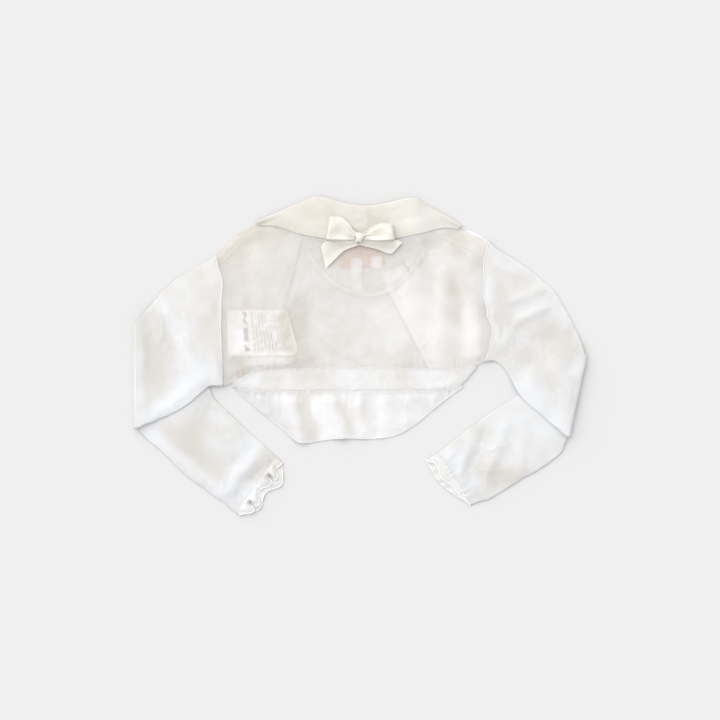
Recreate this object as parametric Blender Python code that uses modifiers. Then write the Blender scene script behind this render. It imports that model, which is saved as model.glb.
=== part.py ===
"""A toddler's sheer knitted shrug, laid flat with its back up and both sleeves folded over at the elbow.

Every size below is in millimetres. X runs across the garment, Y from the hem to the collar, and Z up from the
surface that it lies on. The wearer's left is at -X, because the back faces up.
"""

from collections import namedtuple
from math import cos, hypot, pi, sin

import bmesh
import bpy
from mathutils import Vector
from mathutils.bvhtree import BVHTree

MM = 0.001

# One layer of cloth, how layers lie on each other, and how far apart pieces are at a seam
WALL = 1.0
GAP = 0.3
SEAM = 0.35
FLOOR = WALL / 2
STEP = WALL + GAP
OVER = FLOOR + STEP

# A flattened sleeve, and the clear height between its two halves where it is folded over
TUBE = 4.4
TUBE_MIDDLE = TUBE / 2
TUBE_ROUND = TUBE / 2 - WALL / 2
FOLD_CLEARANCE = 0.8
FOLD_LIFT = TUBE + FOLD_CLEARANCE
FOLD_RADIUS = FOLD_LIFT / 2
DRAPE_START = 4.0
DRAPE_WIDTH = 16.0

# Past this share of its length the lower half lies clear of the upper half, and its creases rise to full height
CLEAR_FROM = 0.4
CLEAR_RUN = 1 / 3

# How the back panel stands off what is under it
ARMHOLE_PUFF = TUBE - WALL / 2
PUFF_REACH = 38.0
EDGE_REACH = 7.0
SAG_START = 2.5
SAG_WIDTH = 20.0
OVER_FRONTS = 2.3
NECK_RISE = 3.4
NECK_FADE = 16.0
NECK_HALF_WIDTH = 42.0
NECK_CORNER = 12.0
WAIST_HEIGHT = 1.4
BACK_CELL = 12.5

# The gathered waist casing
CASING_WALL = 1.9
CASING_HEIGHT = 1.35
CASING_PLEATS = 20
CASING_RIPPLE = 0.4
CASING_TIP = 1.2
HEM_SEAM_RISE = 0.6

# The folded collar
COLLAR_ROLL = 1.3
COLLAR_STANDOFF = 0.45
COLLAR_CELL = 6.5
COLLAR_SEARCH = range(0, 12, 2)

# The lettuce-edged frills at the cuffs
FRILL_WAVES = 5
FRILL_DROOP = 0.25
FRILL_SCALLOP = 2.0
CUFF_RUN_FROM = 0.93

# The satin bow, and the labels
RIBBON = 1.0
BOW_REACH = 22.0
TAIL_CELL = 4.0
TAIL_ROOT_RISE = 1.6
LABEL = 1.0

# One line of a panel, from its lower edge to its upper edge
Line = namedtuple("Line", "low_x low_y high_x high_y")
# A panel line that starts on the waist seam and runs up, or on the hem seam and runs down
Rise = namedtuple("Rise", "low_x high_x high_y")
Drop = namedtuple("Drop", "high_x low_x low_y")
# A point of an edge
Point = namedtuple("Point", "x y")
# How deep a cuff's frill is, at even steps from the cuff's inner edge to its outer edge
Depth = namedtuple("Depth", "depth")
# One ring of a flattened sleeve: its outer and its underarm edge
Ring = namedtuple("Ring", "outer_x outer_y inner_x inner_y")
# One section of the collar: its fold, its free edge, and the length of cloth that turns under at the fold
Section = namedtuple("Section", "fold_x fold_y edge_x edge_y turn")
# A soft ridge in the cloth, from one end to the other
Ridge = namedtuple("Ridge", "from_x from_y to_x to_y half_width height")

WAIST_SEAM = [
    Point(-133.0, -24.9), Point(-119.7, -19.9), Point(-100.7, -11.6), Point(-77.0, -9.5), Point(-50.0, -8.2),
    Point(-20.0, -7.2), Point(20.0, -7.4), Point(56.0, -8.5), Point(88.0, -8.6), Point(108.3, -5.7),
    Point(119.5, -1.7),
]
HEM_SEAM = [
    Point(-122.0, -25.9), Point(-105.0, -29.6), Point(-80.0, -30.0), Point(-40.0, -29.6), Point(0.0, -29.4),
    Point(40.0, -29.0), Point(70.0, -28.2), Point(86.0, -26.4), Point(97.0, -21.4), Point(109.5, -8.4),
]
BACK = [
    Rise(-132.0, -137.8, 99.8), Rise(-120.0, -117.4, 119.6), Rise(-100.7, -86.0, 134.2),
    Rise(-78.0, -62.5, 143.6), Rise(-53.2, -41.5, 148.6), Rise(-25.0, -19.9, 140.4), Rise(3.8, 3.8, 137.6),
    Rise(32.3, 27.5, 140.4), Rise(56.0, 48.6, 147.6), Rise(75.0, 64.0, 142.6), Rise(92.1, 83.0, 132.0),
    Rise(107.0, 104.5, 120.4), Rise(118.8, 122.5, 113.0),
]
FRONT_LEFT = [
    Rise(-132.0, -137.8, 99.8), Rise(-120.0, -116.6, 120.0), Rise(-106.0, -91.0, 132.0),
    Rise(-95.0, -69.0, 140.6), Rise(-88.3, -55.1, 117.8),
]
FRONT_RIGHT = [
    Rise(63.6, 19.0, 78.8), Rise(80.0, 41.8, 93.1), Rise(94.0, 67.5, 105.4), Rise(107.0, 98.0, 123.0),
    Rise(118.8, 122.5, 113.0),
]
HEM = [
    Drop(-119.6, -117.2, -30.6), Drop(-106.0, -97.0, -47.2), Drop(-88.0, -74.0, -66.4),
    Drop(-66.0, -58.0, -78.6), Drop(-42.0, -37.0, -76.6), Drop(-17.0, -15.2, -74.6), Drop(8.5, 8.5, -75.2),
    Drop(32.3, 30.4, -72.4), Drop(52.0, 48.4, -63.6), Drop(68.5, 65.5, -49.8), Drop(83.0, 81.5, -36.8),
    Drop(95.0, 97.0, -25.6),
]
COLLAR = [
    Section(-100.7, 131.6, -97.0, 127.6, 2.7), Section(-84.5, 138.2, -81.7, 127.0, 2.7),
    Section(-62.7, 147.6, -62.0, 121.0, 3.4), Section(-40.9, 155.0, -42.0, 116.6, 7.8),
    Section(-13.3, 148.4, -15.2, 114.2, 9.4), Section(3.8, 146.6, 3.8, 113.8, 10.2),
    Section(20.9, 148.4, 23.0, 114.2, 9.4), Section(48.4, 154.2, 51.3, 119.2, 7.4),
    Section(62.7, 147.0, 67.0, 123.0, 3.4), Section(78.6, 138.4, 79.6, 125.4, 2.7),
    Section(95.9, 128.2, 92.6, 124.2, 2.7),
]
SLEEVE_LEFT_UPPER = [
    Ring(-138.15, 99.8, -132.35, -24.9), Ring(-152.9, 91.2, -143.0, -25.0), Ring(-171.0, 79.8, -151.0, -31.0),
    Ring(-186.2, 68.4, -161.5, -40.4), Ring(-197.5, 54.8, -176.2, -49.8), Ring(-206.4, 44.6, -194.0, -57.6),
    Ring(-212.8, 36.0, -212.4, -65.5),
]
SLEEVE_LEFT_LOWER = [
    Ring(-212.8, 36.0, -212.4, -65.5), Ring(-195.2, 44.0, -203.3, -75.5), Ring(-174.2, 27.0, -190.9, -86.0),
    Ring(-154.2, 3.8, -179.5, -96.9), Ring(-140.4, -33.6, -168.2, -108.3),
    Ring(-125.4, -49.6, -155.8, -117.8), Ring(-110.4, -64.6, -142.5, -127.3),
    Ring(-94.6, -78.8, -129.2, -137.0), Ring(-80.4, -91.6, -118.6, -145.6),
]
SLEEVE_RIGHT_UPPER = [
    Ring(122.85, 113.0, 119.15, -1.9), Ring(143.4, 97.8, 129.6, -2.2), Ring(163.4, 83.6, 138.4, -11.8),
    Ring(182.4, 66.5, 144.6, -23.2), Ring(195.4, 46.5, 151.8, -35.0), Ring(204.4, 28.5, 164.6, -47.2),
    Ring(209.8, 14.3, 180.4, -60.6), Ring(212.0, 6.4, 195.0, -73.4),
]
SLEEVE_RIGHT_LOWER = [
    Ring(212.0, 6.4, 195.0, -73.4), Ring(192.0, -5.7, 190.4, -87.4), Ring(170.0, -20.4, 180.4, -96.3),
    Ring(146.3, -34.8, 168.2, -105.0), Ring(122.5, -49.9, 152.0, -113.8), Ring(99.8, -66.5, 135.8, -124.0),
    Ring(85.0, -77.6, 121.2, -132.2), Ring(72.6, -87.8, 106.0, -137.0),
]
FRILL_LEFT = [Depth(8.0), Depth(15.0), Depth(14.5), Depth(18.5), Depth(14.5)]
FRILL_RIGHT = [Depth(2.8), Depth(9.0), Depth(14.0), Depth(14.5), Depth(13.5)]
HEM_RIDGES = [
    Ridge(-96.0, -31.0, -89.0, -54.0, 6.5, 1.5), Ridge(-74.0, -33.0, -67.0, -74.0, 8.5, 2.6),
    Ridge(-39.0, -31.0, -28.0, -77.0, 9.5, 3.2), Ridge(-8.0, -33.0, 6.0, -75.0, 10.0, 2.2),
    Ridge(45.0, -31.0, 38.0, -66.0, 9.0, 1.3), Ridge(72.0, -28.0, 66.0, -44.0, 8.0, 1.0),
]
BACK_RIDGES = [
    Ridge(-40.0, 15.0, -8.0, -4.0, 12.0, 1.3), Ridge(52.0, 95.0, 58.0, 2.0, 9.0, 1.6),
    Ridge(78.0, 104.0, 74.0, 0.0, 8.0, 1.2), Ridge(106.0, 96.0, 104.0, 4.0, 11.0, 1.6),
    Ridge(-90.0, 0.0, -62.0, -10.0, 8.0, 1.1),
]
SLEEVE_LEFT_RIDGES = [
    Ridge(-148.0, 84.0, -146.0, 40.0, 8.0, 1.8), Ridge(-184.0, 8.0, -166.0, -32.0, 12.0, 1.6),
    Ridge(-204.0, 20.0, -203.0, -40.0, 11.0, 1.6), Ridge(-176.0, 34.0, -153.0, 2.0, 9.0, 1.6),
    Ridge(-158.0, -62.0, -122.0, -108.0, 9.0, 2.2), Ridge(-134.0, -52.0, -112.0, -86.0, 8.0, 2.0),
    Ridge(-140.0, -118.0, -104.0, -82.0, 9.0, 2.4),
]
SLEEVE_RIGHT_RIDGES = [
    Ridge(144.0, 56.0, 180.0, 68.0, 8.0, 1.8), Ridge(132.0, 4.0, 172.0, 50.0, 9.0, 2.2),
    Ridge(158.0, -24.0, 168.0, -52.0, 9.0, 2.0), Ridge(188.0, -16.0, 204.0, -34.0, 9.0, 1.8),
    Ridge(166.0, -58.0, 152.0, -106.0, 10.0, 2.2), Ridge(124.0, -58.0, 112.0, -104.0, 9.0, 2.4),
    Ridge(96.0, -76.0, 100.0, -112.0, 8.0, 1.6),
]

# The stitched tape round the half-moon at the back of the neck, inside the garment
NECK_TAPE = [
    Point(-53.4, 107.0), Point(-40.9, 88.4), Point(-22.8, 71.3), Point(3.8, 62.2), Point(27.5, 67.5),
    Point(48.4, 86.4), Point(61.6, 106.0),
]
HALF_MOON_TOP = [Point(50.0, 122.0), Point(-42.0, 122.0)]
TAPE_WIDTH = 4.0
TAPE_CELL = 6.0
NECK_LABEL = [Line(-19.9, 87.4, -18.0, 111.8), Line(22.8, 88.2, 21.5, 111.8)]
SIZE_TAB = [Line(-9.5, 64.6, -9.5, 96.9), Line(0.9, 64.6, 0.9, 96.9)]
FIBRE_TAB = [Line(9.5, 87.0, 9.5, 98.8), Line(19.9, 87.0, 19.9, 98.8)]
CARE_LABEL = [Line(-126.4, 3.8, -127.3, 47.5), Line(-60.2, 3.8, -70.3, 47.5)]
CARE_LEAF = [Line(-101.0, -5.4, -104.0, 3.2), Line(-66.0, -4.4, -61.0, 3.2)]

BOW_LOOP_LEFT = [
    Line(-7.4, 114.4, -6.6, 119.8), Line(-13.0, 113.8, -10.6, 128.0), Line(-22.0, 113.8, -18.6, 134.6),
    Line(-30.4, 114.0, -26.6, 135.6),
]
BOW_LOOP_RIGHT = [
    Line(3.4, 114.4, 3.2, 119.6), Line(10.5, 113.4, 8.6, 125.2), Line(20.0, 113.2, 18.1, 128.8),
    Line(29.4, 114.0, 27.0, 128.8),
]
BOW_TAIL_LEFT = [
    Line(-6.4, 107.6, -8.1, 112.2), Line(-16.2, 103.2, -18.6, 112.0), Line(-25.0, 95.0, -28.6, 111.6),
    Line(-33.4, 86.6, -38.2, 108.0),
]
BOW_TAIL_RIGHT = [
    Line(2.4, 107.8, 3.8, 112.0), Line(14.3, 105.2, 16.2, 111.6), Line(24.0, 101.4, 28.5, 111.6),
    Line(29.5, 100.7, 39.0, 111.4),
]
KNOT_CENTRE = Point(-1.9, 116.6)
KNOT_SIZE = (11.0, 11.4, 8.4)
LOOP_HEIGHT = 6.4
LOOP_ROOT_HEIGHT = 1.5

# What each piece is made of: name, colour and roughness
Finish = namedtuple("Finish", "name colour roughness")
BACK_KNIT = Finish("knit_back", (0.83, 0.81, 0.75), 0.9)
FRONT_KNIT = Finish("knit_front", (0.86, 0.84, 0.80), 0.9)
CASING_KNIT = Finish("knit_casing", (0.86, 0.84, 0.80), 0.9)
HEM_KNIT = Finish("knit_hem", (0.85, 0.85, 0.84), 0.9)
SLEEVE_KNIT = Finish("knit_sleeve", (0.82, 0.80, 0.75), 0.9)
FRILL_KNIT = Finish("knit_frill", (0.87, 0.87, 0.86), 0.9)
COLLAR_KNIT = Finish("collar_knit", (0.85, 0.82, 0.74), 0.85)
SATIN = Finish("satin_ribbon", (0.87, 0.81, 0.68), 0.4)
TAPE = Finish("neck_tape", (0.86, 0.84, 0.80), 0.8)
WOVEN_LABEL = Finish("neck_label", (0.62, 0.40, 0.25), 0.6)
WHITE_LABEL = Finish("label_white", (0.88, 0.88, 0.86), 0.5)


def eased(t):
    """0 to 1 with a smooth start and end."""
    t = min(max(t, 0.0), 1.0)
    return t * t * (3 - 2 * t)


def mix(a, b, t):
    return a + (b - a) * t


def row_at(table, t):
    """The table's row at t, from 0 to 1, on a smooth curve through all its rows."""
    last = len(table) - 1
    place = min(max(t, 0.0), 1.0) * last
    k = min(int(place), last - 1)
    f = place - k
    before, here, there, after = (table[min(max(k + i, 0), last)] for i in (-1, 0, 1, 2))
    values = []
    for p, q, r, s in zip(before, here, there, after):
        values.append(
            q + 0.5 * f * (r - p + f * (2 * p - 5 * q + 4 * r - s + f * (3 * (q - r) + s - p)))
        )
    return type(here)(*values)


def seam_y(seam, x):
    """The Y of a seam at x."""
    last = len(seam) - 2
    k = next((k for k in range(last) if x <= seam[k + 1].x), last)
    share = (x - seam[k].x) / (seam[k + 1].x - seam[k].x)
    return row_at(seam, (k + share) / (last + 1)).y


def gap_to(outline, x, y):
    """How far (x, y) lies outside a closed outline, or 0 within it."""
    inside, nearest = False, 1e9
    for (ax, ay), (bx, by) in zip(outline, outline[1:] + outline[:1]):
        if (ay > y) != (by > y) and x < ax + (y - ay) / (by - ay) * (bx - ax):
            inside = not inside
        along = ((x - ax) * (bx - ax) + (y - ay) * (by - ay)) / max((bx - ax) ** 2 + (by - ay) ** 2, 1e-9)
        along = min(max(along, 0.0), 1.0)
        nearest = min(nearest, hypot(x - mix(ax, bx, along), y - mix(ay, by, along)))
    return 0.0 if inside else nearest


def ridges_at(ridges, x, y):
    """The height that the soft ridges add at (x, y). Each fades to its sides and its ends."""
    total = 0.0
    for ridge in ridges:
        run_x, run_y = ridge.to_x - ridge.from_x, ridge.to_y - ridge.from_y
        length = hypot(run_x, run_y)
        along = ((x - ridge.from_x) * run_x + (y - ridge.from_y) * run_y) / length
        aside = ((x - ridge.from_x) * run_y - (y - ridge.from_y) * run_x) / length
        fade = ridge.half_width
        ends = eased((along + fade) / fade) * eased((length + fade - along) / fade)
        total += ridge.height * ends * (1 - eased(abs(aside) / ridge.half_width))
    return total


def outline_of(table, line_at=row_at):
    """The closed outline of a panel, from its table of lines."""
    lines = [line_at(table, k / (len(table) - 1)) for k in range(len(table))]
    low = [(line.low_x, line.low_y) for line in lines]
    high = [(line.high_x, line.high_y) for line in lines]
    return low + high[::-1]


def rising(table, u):
    """The line at u of a panel that rises from the waist seam."""
    r = row_at(table, u)
    return Line(r.low_x, seam_y(WAIST_SEAM, r.low_x), r.high_x, r.high_y)


def hanging(table, u):
    """The line at u of a panel that hangs from the hem seam."""
    r = row_at(table, u)
    return Line(r.low_x, r.low_y, r.high_x, seam_y(HEM_SEAM, r.high_x) - SEAM)


def material(finish):
    made = bpy.data.materials.get(finish.name) or bpy.data.materials.new(finish.name)
    made.use_nodes = True
    shader = made.node_tree.nodes["Principled BSDF"]
    shader.inputs["Base Color"].default_value = (*finish.colour, 1.0)
    shader.inputs["Roughness"].default_value = finish.roughness
    made.diffuse_color = (*finish.colour, 1.0)
    return made


def keep(name, bm, finish):
    """Makes the shaped mesh an object of the garment."""
    mesh = bpy.data.meshes.new(name)
    bm.to_mesh(mesh)
    bm.free()
    mesh.materials.append(material(finish))
    mesh.shade_smooth()
    obj = bpy.data.objects.new(name, mesh)
    GARMENT.objects.link(obj)
    obj.parent = GROUND
    return obj


def thicken(obj, thickness):
    cloth = obj.modifiers.new("cloth", "SOLIDIFY")
    cloth.thickness = thickness * MM
    cloth.offset = 0.0
    cloth.use_even_offset = False


def wall(name, columns, rows, place, finish, thickness=WALL, closed=False):
    """A cloth wall: a grid whose middle surface is put in place by place(u, v), then given its thickness."""
    bm = bmesh.new()
    bmesh.ops.create_grid(bm, x_segments=columns, y_segments=rows, size=0.5)
    for vert in bm.verts:
        vert.co = Vector(place(vert.co.x + 0.5, vert.co.y + 0.5)) * MM
    if closed:
        bmesh.ops.remove_doubles(bm, verts=bm.verts, dist=0.01 * MM)
    obj = keep(name, bm, finish)
    thicken(obj, thickness)
    return obj


def tops_of(*objects):
    """top(x, y, reach): the highest point of these pieces within reach of (x, y), or 0 for none."""
    bpy.context.view_layer.update()
    graph = bpy.context.evaluated_depsgraph_get()
    trees = [BVHTree.FromObject(obj, graph) for obj in objects]
    sky = 1.0

    def top(x, y, reach):
        highest = 0.0
        around = [(reach * share, turn * pi / 6) for share in (0.5, 1.0) for turn in range(12)]
        for far, turn in [(0.0, 0.0)] + around:
            spot = Vector((x + far * cos(turn), y + far * sin(turn), sky / MM)) * MM
            for tree in trees:
                hit = tree.ray_cast(spot, Vector((0, 0, -1)))[0]
                if hit is not None:
                    highest = max(highest, hit.z / MM)
        return highest

    return top


def panel_place(table, height, line_at=row_at):
    """place(u, v) of a panel that is ruled from its lower to its upper edge."""

    def place(u, v):
        line = line_at(table, u)
        x, y = mix(line.low_x, line.high_x, v), mix(line.low_y, line.high_y, v)
        return x, y, height(x, y, u, v)

    return place


def make_fronts():
    fronts = []
    for name, table in (("front_left", FRONT_LEFT), ("front_right", FRONT_RIGHT)):
        fronts.append(wall(name, 10, 5, panel_place(table, lambda x, y, u, v: FLOOR, rising), FRONT_KNIT))
    return fronts


def make_care_label():
    flat = [("care_label", CARE_LABEL, 6, 4), ("care_leaf", CARE_LEAF, 4, 2)]
    return [
        wall(name, columns, rows, panel_place(lines, lambda x, y, u, v: OVER), WHITE_LABEL, LABEL)
        for name, lines, columns, rows in flat
    ]


def make_neck_pieces(fronts):
    """The label, its two tabs and the stitched tape, which lie under the back panel at the neck."""
    label = wall("neck_label", 4, 3, panel_place(NECK_LABEL, lambda x, y, u, v: FLOOR), WOVEN_LABEL, LABEL)
    tabs = [
        wall("size_tab", 2, 4, panel_place(SIZE_TAB, lambda x, y, u, v: OVER), WHITE_LABEL, LABEL),
        wall("fibre_tab", 2, 2, panel_place(FIBRE_TAB, lambda x, y, u, v: OVER), WHITE_LABEL, LABEL),
    ]
    front_top = tops_of(*fronts)

    def place(u, v):
        ahead, behind = row_at(NECK_TAPE, u + 0.01), row_at(NECK_TAPE, u - 0.01)
        middle = row_at(NECK_TAPE, u)
        length = hypot(ahead.x - behind.x, ahead.y - behind.y)
        aside = (v - 0.5) * TAPE_WIDTH / length
        x, y = middle.x - (ahead.y - behind.y) * aside, middle.y + (ahead.x - behind.x) * aside
        return x, y, FLOOR + (STEP if front_top(x, y, TAPE_CELL) > 0 else 0.0)

    return [label, *tabs, wall("neck_tape", 36, 1, place, TAPE)]


FRONT_OUTLINES = [outline_of(table, rising) for table in (FRONT_LEFT, FRONT_RIGHT)]
CENTRE_BACK = BACK[len(BACK) // 2].high_x


def back_height(x, y, v, length):
    """The height that the back panel takes by itself: up at the armholes, down between the fronts."""
    from_top, from_waist_seam = (1 - v) * length, v * length
    from_armhole = min(x - BACK[0].high_x, BACK[-1].high_x - x)
    over = mix(ARMHOLE_PUFF, OVER_FRONTS, eased(from_armhole / PUFF_REACH))
    fronts_gap = min(gap_to(outline, x, y) for outline in FRONT_OUTLINES)
    middle = mix(over, FLOOR, eased((fronts_gap - SAG_START) / SAG_WIDTH))
    rise = mix(NECK_RISE, middle, eased(gap_to(NECK_TAPE + HALF_MOON_TOP, x, y) / NECK_FADE))
    height = max(middle, rise)
    at_neck = 1 - eased((abs(x - CENTRE_BACK) - NECK_HALF_WIDTH) / NECK_CORNER)
    top_edge = mix(OVER, max(height, NECK_RISE), at_neck)
    height = mix(top_edge, height, eased(from_top / EDGE_REACH))
    waist_edge = WAIST_HEIGHT if fronts_gap > 0 else OVER
    return mix(waist_edge, height, eased(from_waist_seam / EDGE_REACH))


def make_back(under):
    below = tops_of(*under)

    def height(x, y, u, v):
        line = rising(BACK, u)
        length = hypot(line.high_x - line.low_x, line.high_y - line.low_y)
        free = back_height(x, y, v, length) + ridges_at(BACK_RIDGES, x, y) * eased(4 * v)
        lying_on = below(x, y, BACK_CELL)
        return max(free, lying_on + GAP + WALL / 2 if lying_on > 0 else FLOOR)

    return wall("back_panel", 27, 15, panel_place(BACK, height, rising), BACK_KNIT)


def make_casing():
    left, right = HEM_SEAM[0].x, HEM_SEAM[-1].x

    def place(u, v):
        x = mix(left, right, u)
        upper = seam_y(WAIST_SEAM, x) - SEAM
        lower = min(seam_y(HEM_SEAM, x), upper - CASING_TIP)
        unevenness = 0.6 + 0.4 * sin(9 * u)
        ripple = CASING_RIPPLE * unevenness * cos(2 * pi * CASING_PLEATS * u)
        return x, mix(lower, upper, v), CASING_HEIGHT + ripple * mix(0.5, 1.0, sin(pi * v))

    return wall("waist_casing", CASING_PLEATS * 4, 2, place, CASING_KNIT, CASING_WALL)


def make_hem_band():
    def height(x, y, u, v):
        return FLOOR + ridges_at(HEM_RIDGES, x, y) * eased(3 - 3 * v) + HEM_SEAM_RISE * eased(2 * v - 1)

    return wall("hem_band", 40, 6, panel_place(HEM, height, hanging), HEM_KNIT)


def sleeve_lift(covered, x, y):
    """How far the upper half of a sleeve is lifted where it lies over its lower half, from 0 to 1."""
    return 1 - eased((gap_to(covered, x, y) - DRAPE_START) / DRAPE_WIDTH)


def ring_section(across, rounds):
    """Round a flattened tube: the share across it, the height from its middle, and the push past its end."""
    turn = [pi * k / rounds for k in range(1, rounds)]
    points = [(k / across, TUBE_ROUND, 0.0) for k in range(across + 1)]
    points += [(1.0, TUBE_ROUND * cos(a), TUBE_ROUND * sin(a)) for a in turn]
    points += [(1 - k / across, -TUBE_ROUND, 0.0) for k in range(across + 1)]
    points += [(0.0, -TUBE_ROUND * cos(a), -TUBE_ROUND * sin(a)) for a in turn]
    return points + points[:1]


def ring_point(ring, share, push):
    """A point across a ring. Its ends are inset, so that the rounded wall reaches the ring's own width."""
    run_x, run_y = ring.outer_x - ring.inner_x, ring.outer_y - ring.inner_y
    width = hypot(run_x, run_y)
    inset = TUBE_ROUND + WALL / 2
    along = mix(inset, width - inset, share) + push
    return ring.inner_x + run_x * along / width, ring.inner_y + run_y * along / width


RING = ring_section(across=8, rounds=3)


def sleeve_place(upper, lower, ridges, upper_rows, turn_rows, lower_rows):
    """place(u, v) of a sleeve: out from the armhole, under at the elbow and on to the cuff."""
    covered = outline_of([Line(r.inner_x, r.inner_y, r.outer_x, r.outer_y) for r in lower])
    clear_rows = 2
    fold = upper[-1]
    outward = Vector((fold.outer_y - fold.inner_y, fold.inner_x - fold.outer_x))
    outward.normalize()
    outward *= 1 if outward.x * fold.outer_x > 0 else -1
    axis = TUBE_MIDDLE + FOLD_RADIUS
    total = upper_rows + turn_rows + lower_rows

    def place(u, v):
        share, high, push = RING[round(u * (len(RING) - 1))]
        row = round(v * total)
        if row <= upper_rows:
            x, y = ring_point(row_at(upper, row / upper_rows), share, push)
            lift = FOLD_LIFT * sleeve_lift(covered, x, y)
            between_ends = eased(row / clear_rows) * eased((upper_rows - row) / clear_rows)
            relief = ridges_at(ridges, x, y) * between_ends if high > 0 else 0.0
            return x, y, TUBE_MIDDLE + lift + high + relief
        if row < upper_rows + turn_rows:
            angle = pi * (row - upper_rows) / turn_rows
            x, y = ring_point(fold, share, push)
            reach = (FOLD_RADIUS + high) * sin(angle)
            return x + outward.x * reach, y + outward.y * reach, axis + (FOLD_RADIUS + high) * cos(angle)
        done = (row - upper_rows - turn_rows) / lower_rows
        x, y = ring_point(row_at(lower, done), share, push)
        in_the_open = eased((done - CLEAR_FROM) / CLEAR_RUN)
        relief = ridges_at(ridges, x, y) * in_the_open if high < 0 else 0.0
        return x, y, axis - FOLD_RADIUS - high + relief

    return place, total


def make_sleeve(side, upper, lower, ridges):
    place, rows = sleeve_place(upper, lower, ridges, upper_rows=8, turn_rows=6, lower_rows=10)
    return wall(f"sleeve_{side}", len(RING) - 1, rows, place, SLEEVE_KNIT, closed=True)


def make_frill(side, lower, depths, ripple):
    """The lettuce edge: a short ruffled ring that carries on from the cuff."""
    cuff, before = lower[-1], row_at(lower, CUFF_RUN_FROM)
    out = Vector((cuff.outer_x + cuff.inner_x - before.outer_x - before.inner_x,
                  cuff.outer_y + cuff.inner_y - before.outer_y - before.inner_y)).normalized()
    section = ring_section(across=16, rounds=3)

    def place(u, v):
        share, high, push = section[round(u * (len(section) - 1))]
        x, y = ring_point(cuff, share, push)
        wave = 0.5 - 0.5 * cos(2 * pi * FRILL_WAVES * share)
        depth = row_at(depths, share).depth - FRILL_SCALLOP * (1 - wave)
        far = GAP + WALL / 2 + max(depth, FRILL_SCALLOP) * v
        swell = ripple * wave * eased(v)
        shrink = 1 - FRILL_DROOP * eased(v)
        return x + out.x * far, y + out.y * far, TUBE_MIDDLE + high * shrink + swell

    return wall(f"cuff_frill_{side}", len(section) - 1, 4, place, FRILL_KNIT, closed=True)


def make_collar(back):
    top = tops_of(back)
    half = WALL / 2
    clear = COLLAR_ROLL + half
    leaf_rows, turn_rows = 6, 5

    def place(u, v):
        s = row_at(COLLAR, u)
        width = hypot(s.edge_x - s.fold_x, s.edge_y - s.fold_y)
        in_x, in_y = (s.edge_x - s.fold_x) / width, (s.edge_y - s.fold_y) / width

        def leaf(distance):
            x, y = s.fold_x + in_x * distance, s.fold_y + in_y * distance
            inwards = ((x + in_x * step, y + in_y * step) for step in COLLAR_SEARCH)
            under = next(filter(None, (top(*spot, COLLAR_CELL) for spot in inwards)))
            return x, y, under + COLLAR_STANDOFF + half

        row = round(v * (leaf_rows + turn_rows))
        if row <= leaf_rows:
            return leaf(mix(width, clear, row / leaf_rows))
        x, y, z = leaf(clear)
        done = s.turn * (row - leaf_rows) / turn_rows
        angle = min(done / COLLAR_ROLL, pi)
        back_along = max(done - pi * COLLAR_ROLL, 0.0) - COLLAR_ROLL * sin(angle)
        return x + in_x * back_along, y + in_y * back_along, z - COLLAR_ROLL * (1 - cos(angle))

    return wall("collar", 32, leaf_rows + turn_rows, place, COLLAR_KNIT)


def make_bow_loop(name, lines, base):
    """A ribbon loop that leaves the knot, turns round at its far end and comes back under itself."""
    rows, turn_rows = 5, 5
    total = 2 * rows + turn_rows
    end_round = LOOP_HEIGHT / 2

    def place(u, v):
        row = round(v * total)
        if row <= rows:
            along, angle = row / rows, 0.0
        elif row < rows + turn_rows:
            along, angle = 1.0, pi * (row - rows) / turn_rows
        else:
            along, angle = (total - row) / rows, pi
        line, root = row_at(lines, along), lines[0]
        x, y = mix(line.low_x, line.high_x, u), mix(line.low_y, line.high_y, u)
        half = mix(LOOP_ROOT_HEIGHT / 2, end_round, eased(1.4 * along))
        outward = 1 if lines[-1].low_x > root.low_x else -1
        return x + outward * half * sin(angle), y, base + end_round + half * cos(angle)

    return wall(name, 5, total, place, SATIN, RIBBON)


def make_bow(collar, back):
    top = tops_of(collar, back)
    base = top(KNOT_CENTRE.x, KNOT_CENTRE.y, BOW_REACH) + GAP + RIBBON / 2
    make_bow_loop("bow_loop_left", BOW_LOOP_LEFT, base)
    make_bow_loop("bow_loop_right", BOW_LOOP_RIGHT, base)
    for name, lines in (("bow_tail_left", BOW_TAIL_LEFT), ("bow_tail_right", BOW_TAIL_RIGHT)):

        def height(x, y, u, v):
            return top(x, y, TAIL_CELL) + GAP + RIBBON / 2 + TAIL_ROOT_RISE * (1 - eased(2.2 * u))

        wall(name, 6, 4, panel_place(lines, height), SATIN, RIBBON)
    bm = bmesh.new()
    bmesh.ops.create_cube(bm, size=1.0)
    bmesh.ops.scale(bm, vec=[size * MM for size in KNOT_SIZE], verts=bm.verts)
    middle = base - RIBBON / 2 + KNOT_SIZE[2] / 2
    bmesh.ops.translate(bm, vec=Vector((KNOT_CENTRE.x, KNOT_CENTRE.y, middle)) * MM, verts=bm.verts)
    knot = keep("bow_knot", bm, SATIN)
    soft = knot.modifiers.new("soft", "SUBSURF")
    soft.levels = soft.render_levels = 2


def centre_on_origin():
    """Moves the garment so that the middle of its box, at the level of the surface, is the origin."""
    bpy.context.view_layer.update()
    graph = bpy.context.evaluated_depsgraph_get()
    corners = []
    for obj in GARMENT.objects:
        if obj.type == "MESH":
            shown = obj.evaluated_get(graph)
            corners += [shown.matrix_world @ v.co for v in shown.data.vertices]
    for axis in (0, 1):
        reach = [c[axis] for c in corners]
        GROUND.location[axis] = -(min(reach) + max(reach)) / 2
    GROUND.location[2] = -min(c.z for c in corners)


for old in list(bpy.data.objects):
    bpy.data.objects.remove(old)

GARMENT = bpy.data.collections.new("shrug")
bpy.context.scene.collection.children.link(GARMENT)
GROUND = bpy.data.objects.new("ground_point", None)
GARMENT.objects.link(GROUND)

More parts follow.
